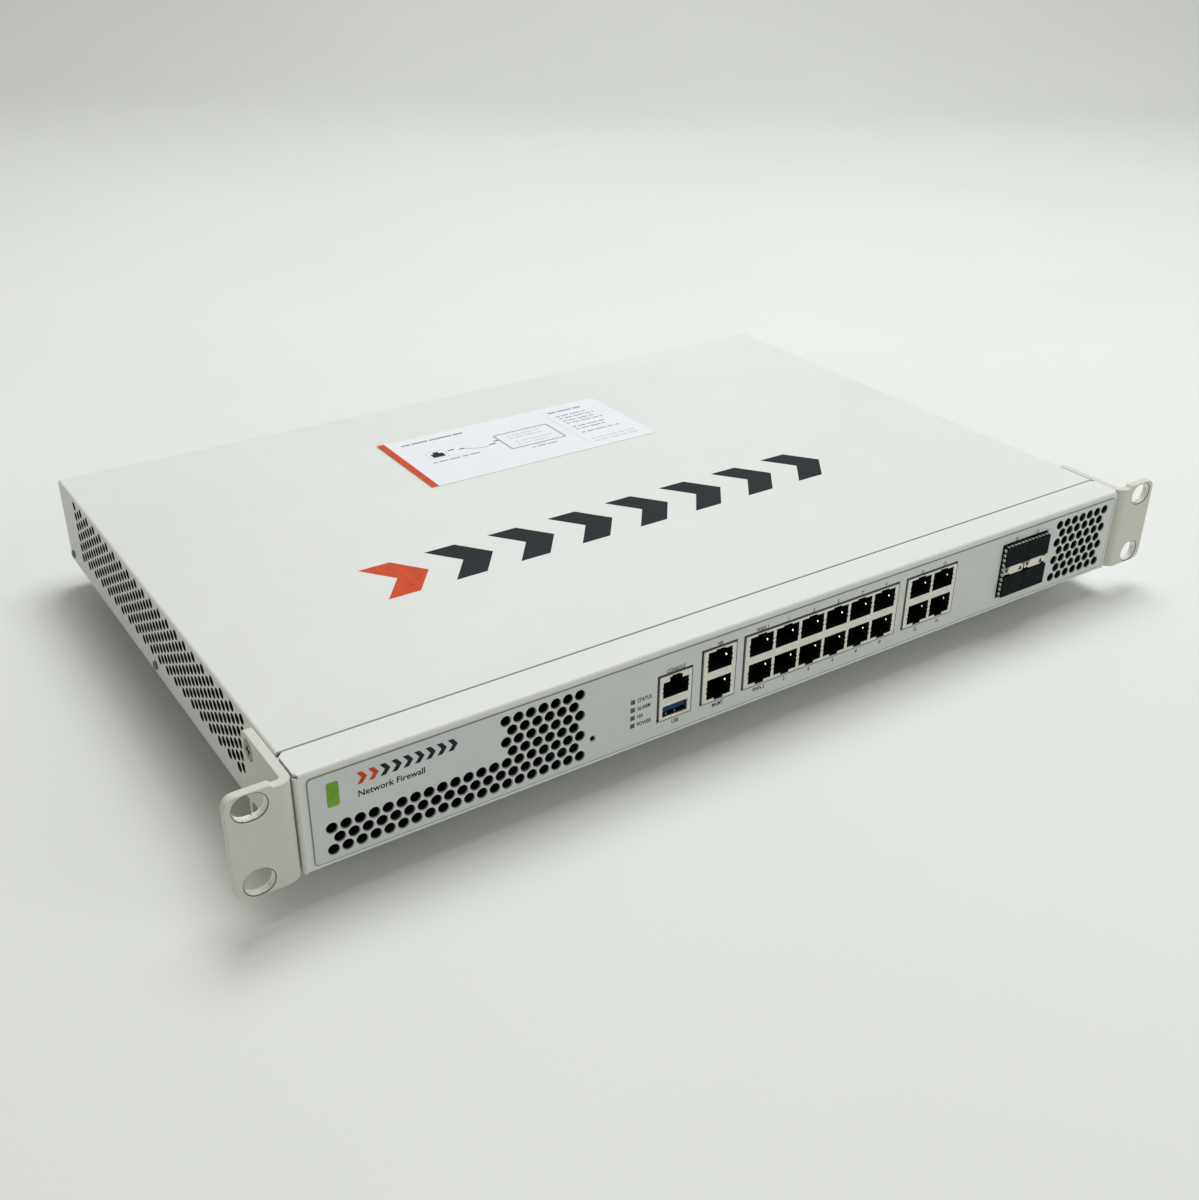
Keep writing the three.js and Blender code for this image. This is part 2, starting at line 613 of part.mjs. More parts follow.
// The board with everything that is soldered to it: sockets, coils, capacitors and small chips.
function mainBoard() {
  const side = CAGE.width / 2 + GAP;
  const notch = block(CAGE.x - side, CAGE.x + side, 0, CAGE.collar + GAP, 0, BOARD_TOP + 1);
  const made = [cut(block(...MAIN_BOARD.x, ...MAIN_BOARD.y, BOARD.bottom, BOARD_TOP), notch)];
  const low = BOARD_TOP - 0.2;
  const onBoard = (x, y, width, length, height) =>
    made.push(block(x - width / 2, x + width / 2, y - length / 2, y + length / 2, low, BOARD_TOP + height));
  for (const chip of [PROCESSOR, NETWORK_CHIP]) onBoard(chip.x, chip.y, chip.size, chip.size, 2.4);
  for (let i = 0; i < 5; i++) onBoard(-88 + i * 13, 50, 9, 9, 5.5);
  for (let i = 0; i < 4; i++) made.push(rod("z", low, BOARD_TOP + 9, -84 + i * 14, 132, 4, 12));
  for (let i = 0; i < 6; i++) onBoard(-2 + i * 13, 40, 9, 12, 4.2);
  for (const x of HEADERS) onBoard(x, 204, 10, 5, 7);
  onBoard(-106, 100, 8, 22, 9);
  const socket = block(...MEMORY.x, MEMORY.y[1] - 4, MEMORY.y[1] + 3, low, MEMORY.z + 2.4);
  const slot = block(
    MEMORY.x[0] + 0.7,
    MEMORY.x[1] - 0.7,
    MEMORY.y[0],
    MEMORY.y[1] + GAP,
    MEMORY.z - GAP,
    MEMORY.z + MEMORY.thick + GAP,
  );
  made.push(cut(socket, slot));
  const edge = block(...STORAGE.x, STORAGE.y[1] - 3, STORAGE.y[1] + 3, low, STORAGE.z + 2.2);
  const mouth = block(
    STORAGE.x[0] + 0.7,
    STORAGE.x[1] - 0.7,
    STORAGE.y[0],
    STORAGE.y[1] + GAP,
    STORAGE.z - GAP,
    STORAGE.z + STORAGE.thick + GAP,
  );
  made.push(cut(edge, mouth), rod("z", low, STORAGE.z - GAP, 31, STORAGE.y[0] + 3, 2.5, 8));
  const holder = rod("z", low, BOARD_TOP + 4.4, BATTERY.x, BATTERY.y, BATTERY.radius + 2, 24);
  made.push(cut(holder, rod("z", ON_BOARD + 0.7, 20, BATTERY.x, BATTERY.y, BATTERY.radius + GAP, 24)));
  return join(...made);
}

// A card with chips on top, lying flat in its socket.
function card({ x, y, thick }, chips, chipSize) {
  const made = [block(x[0] + 1, x[1] - 1, y[0], y[1], 0, thick)];
  const along = x[1] - x[0] > y[1] - y[0];
  for (let i = 0; i < chips; i++) {
    const share = (i + 0.5) / chips;
    const cx = along ? x[0] + share * (x[1] - x[0]) : (x[0] + x[1]) / 2;
    const cy = along ? (y[0] + y[1]) / 2 - 3 : y[0] + 6 + share * (y[1] - y[0] - 12);
    made.push(block(cx - chipSize / 2, cx + chipSize / 2, cy - 6, cy + 6, thick - 0.1, thick + 1.1));
  }
  return join(...made);
}

// A finned block with its fins along Y.
function heatSink(width, length, height, fins) {
  const made = [block(-width / 2, width / 2, -length / 2, length / 2, 0, 4)];
  const thick = 1.2;
  for (let i = 0; i < fins; i++) {
    const x = -width / 2 + (i * (width - thick)) / (fins - 1);
    made.push(block(x, x + thick, -length / 2, length / 2, 3.5, height));
  }
  return join(...made);
}

piece("main_board", mainBoard(), GREEN_BOARD);
const ON_CHIP = BOARD_TOP + 2.4 + GAP;
piece("processor_heat_sink", heatSink(56, 60, 24, 12), ALUMINIUM, [PROCESSOR.x, PROCESSOR.y, ON_CHIP]);
piece("network_chip_heat_sink", heatSink(48, 52, 24, 10), ALUMINIUM, [NETWORK_CHIP.x, NETWORK_CHIP.y, ON_CHIP]);
piece("memory_module", card(MEMORY, 4, 11), GREEN_BOARD, [0, 0, MEMORY.z]);
piece("storage_card", card(STORAGE, 3, 13), GREEN_BOARD, [0, 0, STORAGE.z]);
piece("clock_battery", rod("z", 0, BATTERY.thick, 0, 0, BATTERY.radius, 24), STEEL, [
  BATTERY.x,
  BATTERY.y,
  ON_BOARD + 1,
]);

// ---------- power supply ----------

const BULK = { x: -186, y: 214, radius: 12.5, length: 42 };
const CHOKE = { x: -142, y: 232, radius: 11, section: 4.5 };

function powerBoard() {
  const made = [block(...POWER_BOARD.x, ...POWER_BOARD.y, BOARD.bottom, BOARD_TOP)];
  const low = BOARD_TOP - 0.2;
  for (let i = 0; i < 3; i++) made.push(rod("z", low, 29, -150 + i * 11, 108, 5, 14));
  made.push(block(-128, -124, 112, 134, low, BOARD_TOP + 9));
  made.push(block(-176, -160, 248, 254, low, BOARD_TOP + 8));
  made.push(block(-204, -196, 104, 122, low, 26));
  return join(...made);
}

function transformer() {
  const core = cut(
    block(-16, 16, -15, 15, 0, 26),
    block(-10, -5, -16, 16, 5, 21),
    block(5, 10, -16, 16, 5, 21),
  );
  return join(core, block(-10.5, 10.5, -17.5, 17.5, 5.5, 20.5));
}

function chokeRing() {
  const profile = [];
  for (let i = 0; i <= 8; i++) {
    const turn = (-2 * Math.PI * i) / 8;
    profile.push(
      new THREE.Vector2(CHOKE.radius - CHOKE.section + CHOKE.section * Math.cos(turn), CHOKE.section * Math.sin(turn)),
    );
  }
  const ring = new THREE.LatheGeometry(profile, 18);
  const made = solid(ring.rotateX(Math.PI / 2));
  return made.volume() < 0 ? solid(ring.scale(1, 1, -1)) : made;
}

piece("power_board", powerBoard(), BROWN_BOARD);
piece("power_transformer", transformer(), YELLOW, [-176, 168, ON_BOARD]);
piece("bulk_capacitor", rod("y", -BULK.length / 2, BULK.length / 2, 0, 0, BULK.radius, 24), BLACK, [
  BULK.x,
  BULK.y,
  ON_BOARD + BULK.radius,
]);
piece("line_choke", chokeRing(), RED, [CHOKE.x, CHOKE.y, ON_BOARD + CHOKE.section]);
piece(
  "power_heat_sink",
  join(block(-1.5, 1.5, -34, 34, 0, 28), block(-9, -1, -34, 34, 25, 28)),
  ALUMINIUM,
  [-136, 178, ON_BOARD],
);

// The mains inlet: a flanged housing with a recess for the plug and three blades in it.
function inlet() {
  const back = REAR.front + SHEET + GAP;
  const housing = block(
    -INLET.width / 2,
    INLET.width / 2,
    back - INLET.depth,
    back + 0.2,
    -INLET.height / 2,
    INLET.height / 2,
  );
  const flange = drawn(
    "y",
    back,
    back + INLET.flange,
    rounded(-INLET.flangeWidth / 2, INLET.flangeWidth / 2, -INLET.flangeHeight / 2, INLET.flangeHeight / 2, 3),
  );
  const [w, h, bevel] = [INLET_SOCKET.width / 2, INLET_SOCKET.height / 2, 4];
  const mouth = [
    [-w, -h],
    [w, -h],
    [w, h - bevel],
    [w - bevel, h],
    [bevel - w, h],
    [-w, h - bevel],
  ].map(([x, z]) => new THREE.Vector2(x, z));
  const end = back + INLET.flange + 1;
  const recess = drawn("y", end - 1 - INLET_SOCKET.depth, end, mouth);
  const blades = [[-7, -1], [0, 2.8], [7, -1]].map(([x, z]) =>
    block(x - 1, x + 1, end - 2 - INLET_SOCKET.depth, end - 6, z - 2, z + 2),
  );
  return join(cut(join(housing, flange), recess), ...blades);
}

function groundScrew() {
  const back = REAR.front + SHEET + 0.1;
  return cut(
    join(
      rod("y", back, back + GROUND.headDepth, 0, 0, GROUND.head, 16),
      rod("y", back - 8, back + 0.2, 0, 0, GROUND.shank, 10),
    ),
    rod("y", back + 1, back + 4, 0, 0, 1.8, 6),
  );
}

piece("mains_inlet", inlet(), BLACK, [INLET.x, 0, INLET.z]);
piece("ground_screw", groundScrew(), STEEL, [GROUND.x, 0, GROUND.z]);
piece(
  "mains_leads",
  wire([[-168, 269.2, 16], [-168, 264, 16], [-168, 260, 20], [-168, 255, 24], [-168, 251, 21], [-168, 251, 17.6]], 2.6),
  BLACK,
);
piece(
  "board_power_leads",
  wire(
    [[-126, 123, 18.3], [-126, 123, 22], [-122, 120, 26], [-114, 112, 27], [-107, 106, 24.5], [-106, 104, 22], [-106, 104, 18.3]],
    2.6,
  ),
  YELLOW,
);

// ---------- fans ----------

function fanFrame() {
  const half = FAN.size / 2;
  const shell = drawn("y", 0, FAN.depth, rounded(-half, half, -half, half, 3), [polygon(0, 0, FAN.bore, 28)]);
  const motorSeat = rod("y", FAN.depth - 3.2, FAN.depth - 0.4, 0, 0, FAN.hub, 20);
  const struts = [0, 1, 2].map((i) => {
    const turn = 0.4 + (i * 2 * Math.PI) / 3;
    const bar = new THREE.BoxGeometry(FAN.bore, 2, 2.2).translate(FAN.bore / 2 + 1, FAN.depth - 1.6, 0);
    return solid(bar.rotateY(turn));
  });
  return join(shell, motorSeat, ...struts);
}

function fanRotor() {
  const made = [rod("y", 1.5, FAN.depth - 3.8, 0, 0, FAN.hub - 0.2, 20)];
  const span = FAN.tip - FAN.hub + 1.5;
  for (let i = 0; i < FAN.blades; i++) {
    const blade = new THREE.BoxGeometry(span, 17, 1.1).rotateX(0.72);
    blade.translate(FAN.hub - 1.2 + span / 2, 12.5, 0).rotateY((i * 2 * Math.PI) / FAN.blades);
    made.push(solid(blade));
  }
  return join(...made).intersect(rod("y", 1, FAN.depth - 3.7, 0, 0, FAN.tip, 28));
}

FAN.x.forEach((x, i) => {
  const fan = new THREE.Group();
  fan.position.set(x, FAN.front, FAN_MIDDLE);
  chassis.add(fan);
  piece(`fan_frame_${i + 1}`, fanFrame(), BLACK, [0, 0, 0], fan);
  piece(`fan_rotor_${i + 1}`, fanRotor(), BLACK, [0, 0, 0], fan);
  const header = HEADERS[i] - x;
  piece(
    `fan_leads_${i + 1}`,
    wire(
      [[16, -0.4, 15], [16, -4, 15], [14, -18, 13], [header + 3, -40, 8], [header, -54, 2], [header, -55.8, -3.4]],
      1.3,
      16,
      6,
    ),
    RED,
    [0, 0, 0],
    fan,
  );
});

export default root;
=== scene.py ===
"""Looks of a rack-mount network security appliance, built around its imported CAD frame.

Lengths are millimetres in the appliance's own directions: x to the right from the middle of the
case, y to the back from its front face and z up from its underside. Every mesh is turned into the
frame's metres as its object is made.
"""
import math

import bmesh
import bpy
from mathutils import Matrix, Vector
from mathutils.geometry import delaunay_2d_cdt


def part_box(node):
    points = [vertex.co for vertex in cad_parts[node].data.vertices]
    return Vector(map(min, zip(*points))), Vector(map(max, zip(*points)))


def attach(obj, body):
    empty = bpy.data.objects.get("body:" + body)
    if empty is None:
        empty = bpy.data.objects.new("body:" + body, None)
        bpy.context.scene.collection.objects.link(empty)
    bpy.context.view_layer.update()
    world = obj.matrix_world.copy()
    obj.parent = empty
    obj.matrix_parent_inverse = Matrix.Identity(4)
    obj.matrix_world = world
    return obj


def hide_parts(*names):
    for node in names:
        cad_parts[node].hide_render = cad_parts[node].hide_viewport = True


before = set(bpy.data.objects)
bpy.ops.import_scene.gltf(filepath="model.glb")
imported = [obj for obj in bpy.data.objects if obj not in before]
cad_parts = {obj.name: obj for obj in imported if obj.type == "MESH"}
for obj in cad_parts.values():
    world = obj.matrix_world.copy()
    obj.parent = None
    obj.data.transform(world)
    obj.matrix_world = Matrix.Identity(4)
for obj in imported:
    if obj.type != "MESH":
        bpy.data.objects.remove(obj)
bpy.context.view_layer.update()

# ---------- the frame's own measures ----------

MM = 0.001
PANEL_LOW, PANEL_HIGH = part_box("front_panel")
FACE = PANEL_LOW.y
UNDERSIDE = PANEL_LOW.z
HALF = round((PANEL_HIGH.x - PANEL_LOW.x) / 2 / MM, 2)
TOP = round((PANEL_HIGH.z - UNDERSIDE) / MM, 2)
LIP = round((PANEL_HIGH.y - FACE) / MM, 2)


def extent(node):
    """A CAD node's lowest and highest corner in millimetres from the case's own zero."""
    zero = Vector((0, FACE, UNDERSIDE))
    return [(corner - zero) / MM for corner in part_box(node)]


SHEET = 1.2
BEND = 1.5
QUARTER = BEND * math.pi / 2
PRINT = 0.03
LIFT = 0.02
SIDES = ("left", "right")
EAR_SCREW = {"y": 32.8, "z": (35.8, 7.6)}
COVER_SCREW = {"y": (158.5, 284), "z": 4.8}
RACK_HOLES_APART = 31.75
JACK_PITCH = 13.97
JACK_DEPTH = 16
CONTACT_PITCH = 1.02
POCKETS = {"lower": 9.8, "upper": 24.4}
SEAM_BACK = extent("top_cover")[0].y
COVER_BACK = extent("top_cover")[1].y


def middle(node):
    """The middle of a CAD node's box as x, y and z, then its lowest and highest corner."""
    low, high = extent(node)
    return [(a + b) / 2 for a, b in zip(low, high)], low, high


# ---------- outlines: lists of (u, v), anticlockwise ----------


def arc(u, v, r, start, end, steps):
    """Points on an arc, angles in degrees."""
    turns = [math.radians(start + (end - start) * i / steps) for i in range(steps + 1)]
    return [(u + r * math.cos(t), v + r * math.sin(t)) for t in turns]


def circle(u, v, r, sides=20):
    return arc(u, v, r, 0, 360, sides)[:-1]


def rectangle(u0, u1, v0, v1):
    return [(u0, v0), (u1, v0), (u1, v1), (u0, v1)]


def rounded(u0, u1, v0, v1, r, steps=5):
    corners = [(u1 - r, v0 + r, -90), (u1 - r, v1 - r, 0), (u0 + r, v1 - r, 90), (u0 + r, v0 + r, 180)]
    return [p for u, v, start in corners for p in arc(u, v, r, start, start + 90, steps)]


def mirrored(side, u=0.0):
    """The right side of an outline, from bottom to top, and its mirror image about u."""
    return [(u + a, v) for a, v in side] + [(u - a, v) for a, v in reversed(side)]


def cross(reach, half):
    """The outline of a cross recess with four arms."""
    loop = [(half, -reach), (half, -half), (reach, -half)]
    for _ in range(3):
        loop += [(-v, u) for u, v in loop[-3:]]
    return loop


def grown(loop, amount):
    """The loop moved outwards by an amount, or inwards by a negative one."""
    made = []
    for i, (u, v) in enumerate(loop):
        before = Vector((u, v)) - Vector(loop[i - 1])
        after = Vector(loop[(i + 1) % len(loop)]) - Vector((u, v))
        first = Vector((before.y, -before.x)).normalized()
        second = Vector((after.y, -after.x)).normalized()
        between = (first + second).normalized()
        step = amount / max(0.35, between.dot(first))
        made.append((u + between.x * step, v + between.y * step))
    return made


def crossed(loop, axis, values):
    """The loop with a point added wherever an edge crosses one of the values on an axis."""
    made = []
    for i, a in enumerate(loop):
        b = loop[(i + 1) % len(loop)]
        made.append(a)
        inside = [t for t in values if min(a[axis], b[axis]) + 1e-4 < t < max(a[axis], b[axis]) - 1e-4]
        for value in sorted(inside, reverse=a[axis] > b[axis]):
            share = (value - a[axis]) / (b[axis] - a[axis])
            made.append((a[0] + share * (b[0] - a[0]), a[1] + share * (b[1] - a[1])))
    return made


# ---------- where an outline lies: functions of (u, v, depth below the face) ----------


def lying(origin, across, up):
    """A flat face at origin, with u along across, v along up and depth away from the viewer."""
    o, a, b = Vector(origin), Vector(across), Vector(up)
    inwards = -a.cross(b)
    return lambda u, v, d: o + a * u + b * v + inwards * d


def facing_front(y, x=0, z=0):
    return lying((x, y, z), (1, 0, 0), (0, 0, 1))


def facing_back(y, x=0, z=0):
    return lying((x, y, z), (-1, 0, 0), (0, 0, 1))


def facing_up(z, x=0, y=0):
    return lying((x, y, z), (1, 0, 0), (0, 1, 0))


def facing_side(x, y, z, side):
    """Facing left for side -1 and right for side 1."""
    return lying((x, y, z), (0, side, 0), (0, 0, 1))


def folded(p, low, high, radius, d):
    """Place across and setback of a point d below a sheet that folds back past low and high."""
    quarter = radius * math.pi / 2
    for edge, side in ((high, 1), (low, -1)):
        beyond = (p - edge) * side + radius
        if beyond > 0:
            turn = min(beyond / radius, math.pi / 2)
            past = max(0.0, beyond - quarter)
            across = edge - side * (radius - (radius - d) * math.sin(turn))
            return across, radius - (radius - d) * math.cos(turn) + past
    return p, d


def bend_lines(edge, side, radius, steps=5):
    """The unfolded places of the lines across a bend."""
    return [edge + side * (radius * math.pi / 2 * i / steps - radius) for i in range(steps + 1)]


# ---------- meshes ----------


def linked(name, data):
    """A new object in the scene."""
    made = bpy.data.objects.new(name, data)
    bpy.context.scene.collection.objects.link(made)
    return made


def blind(loop, profile, look=0, **more):
    """A hole for a sheet that ends in a floor, with its profile and material number."""
    return {"loop": loop, "profile": profile, "blind": True, "look": look, **more}


class Shell:
    """Points in millimetres and faces that become one object."""

    def __init__(self):
        self.points = []
        self.faces = []
        self.looks = []

    def add(self, points, faces, look=0, flip=False):
        start = len(self.points)
        self.points.extend(Vector(p) for p in points)
        for face in faces:
            ring = [start + i for i in face]
            self.faces.append(ring[::-1] if flip else ring)
            self.looks.append(look)

    def sheet(self, outline, place, depth, holes=(), edge=0.15, bends=((), ()), look=0, walls=None, back=None,
              sides=None, flip=False):
        """A sheet or block under an outline. A hole is a loop, or a dict with its own profile.

        A profile is a list of (growth, depth) rings from the face down, and a blind hole ends in a
        floor. bends holds the unfolded u and v values where the sheet turns. look, walls, back and
        sides are the material numbers of the face, the holes' walls, the back and the outer rim.
        """
        walls = look if walls is None else walls
        back = look if back is None else back
        sides = look if sides is None else sides
        for axis in (0, 1):
            outline = crossed(outline, axis, bends[axis])
        eased = [(-edge, 0), (0, edge), (0, depth - edge), (-edge, depth)]
        profile = eased if edge else [(0, 0), (0, depth)]
        rings = [{"loop": outline, "profile": profile, "look": sides, "outer": True}]
        for hole in holes:
            made = dict(hole) if isinstance(hole, dict) else {"loop": hole}
            made.setdefault("profile", [(-growth, level) for growth, level in profile])
            made.setdefault("look", walls)
            rings.append(made)
        for ring in rings:
            ring["loops"] = [grown(ring["loop"], growth) for growth, _ in ring["profile"]]
        lines = self.fold_lines(rings[0], bends)
        self.cap([ring["loops"][0] for ring in rings], lines, place, 0.0, look, flip)
        through = [ring for ring in rings if not ring.get("blind")]
        self.cap([ring["loops"][-1] for ring in through], lines, place, depth, back, not flip)
        for ring in rings:
            self.walls(ring, place, flip)
            if ring.get("blind"):
                floor = ring.get("floor", ring["look"])
                self.cap([ring["loops"][-1]], (), place, ring["profile"][-1][1], floor, flip)

    def printed(self, loop, place, look=0, depth=PRINT, holes=()):
        """A flat print as thick as its ink."""
        self.sheet(loop, place, depth, holes, 0, look=look)

    def walls(self, ring, place, flip):
        """The faces between the rings of one outline or hole."""
        count = len(ring["loop"])
        quads = [(i, i + count, (i + 1) % count + count, (i + 1) % count) for i in range(count)]
        rings = list(zip(ring["loops"], (level for _, level in ring["profile"])))
        looks = [ring["look"]] * len(rings)
        looks[0] = ring.get("rim", looks[0])
        for near, far, look in zip(rings, rings[1:], looks):
            points = [place(u, v, level) for loop, level in (near, far) for u, v in loop]
            self.add(points, quads, look, flip if ring.get("outer") else not flip)

    def fold_lines(self, ring, bends):
        """Pairs of points across the outline's face loop that lie on each bend line."""
        pairs = []
        for axis in (0, 1):
            for value in bends[axis]:
                on_line = [i for i, p in enumerate(ring["loop"]) if abs(p[axis] - value) < 2e-4]
                on_line.sort(key=lambda i: ring["loop"][i][1 - axis])
                pairs += list(zip(on_line[0::2], on_line[1::2]))
        return pairs

    def cap(self, loops, lines, place, level, look, flip):
        """Triangles between the first loop and the others, which are holes in it."""
        points, fences = [], []
        for loop in loops:
            fences.append(list(range(len(points), len(points) + len(loop))))
            points += [Vector(p) for p in loop]
        found = delaunay_2d_cdt(points, list(lines), fences, 1, 1e-7, True)
        triangles = [f for f, origin in zip(found[2], found[5]) if list(origin) == [0]]
        self.add([place(p.x, p.y, level) for p in found[0]], triangles, look, flip)

    def turned(self, place, profile, sides, look=0):
        """A round solid whose profile of (radius, depth) starts and ends on the axis."""
        rings = []
        for radius, depth in profile:
            around = [(0.0, 0.0)] if radius < 1e-6 else circle(0, 0, radius, sides)
            rings.append([place(u, v, depth) for u, v in around])
        for near, far in zip(rings, rings[1:]):
            points = near + far
            n = len(near)
            faces = []
            for i in range(sides):
                j = (i + 1) % sides
                if len(near) == 1:
                    faces.append((0, n + i, n + j))
                elif len(far) == 1:
                    faces.append((i, n, j))
                else:
                    faces.append((i, n + i, n + j, j))
            self.add(points, faces, look)

    def tube(self, path, radius, sides, look):
        """A round wire through a smooth path of points, with closed ends."""
        path = [Vector(p) for p in path]
        rings = []
        side = None
        for i, p in enumerate(path):
            along = (path[min(i + 1, len(path) - 1)] - path[max(i - 1, 0)]).normalized()
            side = along.orthogonal() if side is None else side - along * side.dot(along)
            side.normalize()
            other = along.cross(side)
            rings.append([p + (side * math.cos(t) + other * math.sin(t)) * radius
                          for t in (2 * math.pi * k / sides for k in range(sides))])
        points = [p for ring in rings for p in ring]
        faces = []
        for k in range(0, (len(rings) - 1) * sides, sides):
            for i in range(sides):
                j = (i + 1) % sides
                faces.append((k + i, k + j, k + sides + j, k + sides + i))
        last = (len(rings) - 1) * sides
        self.add(points, faces + [tuple(range(sides))[::-1], tuple(range(last, last + sides))], look)

    def words(self, text, place, u, v, height, look, bold, align, narrow=1.0):
        """Printed lettering with its capitals' height, its middle line at v and its width narrowed."""
        curve = bpy.data.curves.new("lettering", "FONT")
        curve.body = text
        curve.size = height / CAPITAL
        curve.offset = bold
        curve.align_x = align
        curve.resolution_u = 2
        made = linked("lettering", curve)
        bpy.context.view_layer.update()
        mesh = bpy.data.meshes.new_from_object(made.evaluated_get(bpy.context.evaluated_depsgraph_get()))
        flat = [Vector((u + p.co.x * narrow, v - height / 2 + p.co.y)) for p in mesh.vertices]
        pieces = []
        for corner in (tuple(f.vertices) for f in mesh.polygons):
            a, b, c = (flat[i] for i in corner[:3])
            area = (b - a).cross(c - a)
            if abs(area) > 1e-4:
                pieces.append(corner if area > 0 else corner[::-1])
        found = delaunay_2d_cdt(flat, [], pieces, 1, 1e-5, True)
        count = len(found[0])
        front = [tuple(f) for f, origin in zip(found[2], found[5]) if origin]
        back = [tuple(i + count for i in reversed(f)) for f in front]
        edges = {(a, b) for f in front for a, b in zip(f, f[1:] + f[:1])}
        rim = [(a, a + count, b + count, b) for a, b in sorted(edges) if (b, a) not in edges]
        points = [place(p.x, p.y, level) for level in (0, PRINT) for p in found[0]]
        self.add(points, front + back + rim, look)
        bpy.data.meshes.remove(mesh)
        bpy.data.objects.remove(made)
        bpy.data.curves.remove(curve)

    def finished(self, name, materials, body="chassis", replaces=()):
        """Makes the object, welds it, marks its sharp edges and lets it ride on a CAD body."""
        mesh = bpy.data.meshes.new(name)
        zero = Vector((0, FACE, UNDERSIDE))
        mesh.from_pydata([p * MM + zero for p in self.points], [], self.faces)
        mesh.polygons.foreach_set("material_index", self.looks)
        made = bmesh.new()
        made.from_mesh(mesh)
        bmesh.ops.remove_doubles(made, verts=made.verts, dist=1.5e-6)
        bmesh.ops.dissolve_degenerate(made, edges=made.edges, dist=1e-7)
        for face in made.faces:
            face.smooth = True
        for border in made.edges:
            border.smooth = len(border.link_faces) == 2 and border.calc_face_angle(0.0) < SHARP
        made.to_mesh(mesh)
        made.free()
        for material in materials:
            mesh.materials.append(material)
        piece = linked(name, mesh)
        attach(piece, body)
        if replaces:
            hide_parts(*replaces)


CAPITAL = 0.729  # height of the built-in font's capitals at size 1
SHARP = math.radians(28)  # edges that turn more than this stay crisp


# ---------- materials ----------


def tone(hexadecimal):
    """A colour code as linear red, green and blue."""
    parts = [int(hexadecimal[i:i + 2], 16) / 255 for i in (0, 2, 4)]
    return tuple(c / 12.92 if c <= 0.04045 else ((c + 0.055) / 1.055) ** 2.4 for c in parts)


def scaled(color, factor):
    return tuple(c * factor for c in color)


class Finish:
    """A Principled material with its own coordinates and a few linked procedural parts."""

    def __init__(self, name, roughness=0.5, metallic=0.0, **constants):
        self.material = bpy.data.materials.new(name)
        self.material.use_nodes = True
        self.nodes = self.material.node_tree.nodes
        self.links = self.material.node_tree.links
        self.shader = self.nodes["Principled BSDF"]
        self.shader.inputs["Roughness"].default_value = roughness
        self.shader.inputs["Metallic"].default_value = metallic
        for socket, value in constants.items():
            self.shader.inputs[socket.replace("_", " ")].default_value = value
        self.place = self.nodes.new("ShaderNodeTexCoord").outputs["Object"]

    def node(self, kind, inputs=None, **settings):
        made = self.nodes.new("ShaderNode" + kind)
        for key, value in settings.items():
            setattr(made, key, value)
        for key, value in (inputs or {}).items():
            if isinstance(value, bpy.types.NodeSocket):
                self.links.new(value, made.inputs[key])
            else:
                made.inputs[key].default_value = value
        return made

    def noise(self, scale, detail=3.0, stretch=(1, 1, 1), distortion=0.0):
        """Noise with scale features per metre, stretched by axis."""
        mapped = self.node("Mapping", {"Vector": self.place, "Scale": stretch}).outputs["Vector"]
        inputs = {"Vector": mapped, "Scale": scale, "Detail": detail, "Distortion": distortion}
        return self.node("TexNoise", inputs).outputs["Fac"]

    def ramp(self, source, stops):
        """Colours or greys at places from 0 to 1."""
        made = self.node("ValToRGB", {"Fac": source})
        band = made.color_ramp
        while len(band.elements) < len(stops):
            band.elements.new(0.5)
        for element, (at, color) in zip(band.elements, stops):
            element.position = at
            element.color = (*color, 1) if isinstance(color, tuple) else (color, color, color, 1)
        return made.outputs["Color"]

    def blended(self, mask, first, second):
        inputs = {0: mask}
        for key, color in ((6, first), (7, second)):
            inputs[key] = color if isinstance(color, bpy.types.NodeSocket) else (*color, 1)
        return self.node("Mix", inputs, data_type="RGBA").outputs[2]

    def color(self, socket):
        self.links.new(socket, self.shader.inputs["Base Color"])
        return self

    def rough(self, socket):
        self.links.new(socket, self.shader.inputs["Roughness"])
        return self

    def bump(self, height, strength, distance):
        inputs = {"Height": height, "Strength": strength, "Distance": distance}
        self.links.new(self.node("Bump", inputs).outputs["Normal"], self.shader.inputs["Normal"])
        return self

    def mottled(self, base, spread, scale):
        """A base colour that drifts a little lighter and darker over the surface."""
        dark = scaled(base, 1 - spread)
        light = tuple(min(1.0, c * (1 + spread)) for c in base)
        return self.color(self.ramp(self.noise(scale), [(0.35, dark), (0.65, light)]))

    def uneven(self, low, high, scale):
        """Roughness that wanders between two values."""
        return self.rough(self.ramp(self.noise(scale, 4.0), [(0.3, low), (0.7, high)]))


def orange_peel(made):
    return made.bump(made.noise(2600.0, 2.0), 0.22, 0.00006).material


def powder_coat(name, code, spread=0.02):
    """Satin textured paint with fine orange peel and the faintest handling marks."""
    base = tone(code)
    made = Finish(name, Specular_IOR_Level=0.4)
    marks = made.ramp(made.noise(9.0, 8.0, distortion=0.6), [(0.42, 0.0), (0.72, 1.0)])
    dark = scaled(base, 1 - 2 * spread)
    drift = made.ramp(made.noise(26.0), [(0.3, scaled(base, 1 - spread)), (0.7, base)])
    made.color(made.blended(marks, drift, dark))
    made.uneven(0.42, 0.58, 90.0)
    return orange_peel(made)


def plastic(name, code, low=0.38, high=0.55, grain=0.15, spread=0.06, shine=0.4):
    """Moulded plastic, rubber, film or paper, with roughness from low to high and a fine grain."""
    made = Finish(name, Specular_IOR_Level=shine).mottled(tone(code), spread, 70.0).uneven(low, high, 200.0)
    return made.bump(made.noise(3500.0, 2.0), grain, 0.00005).material


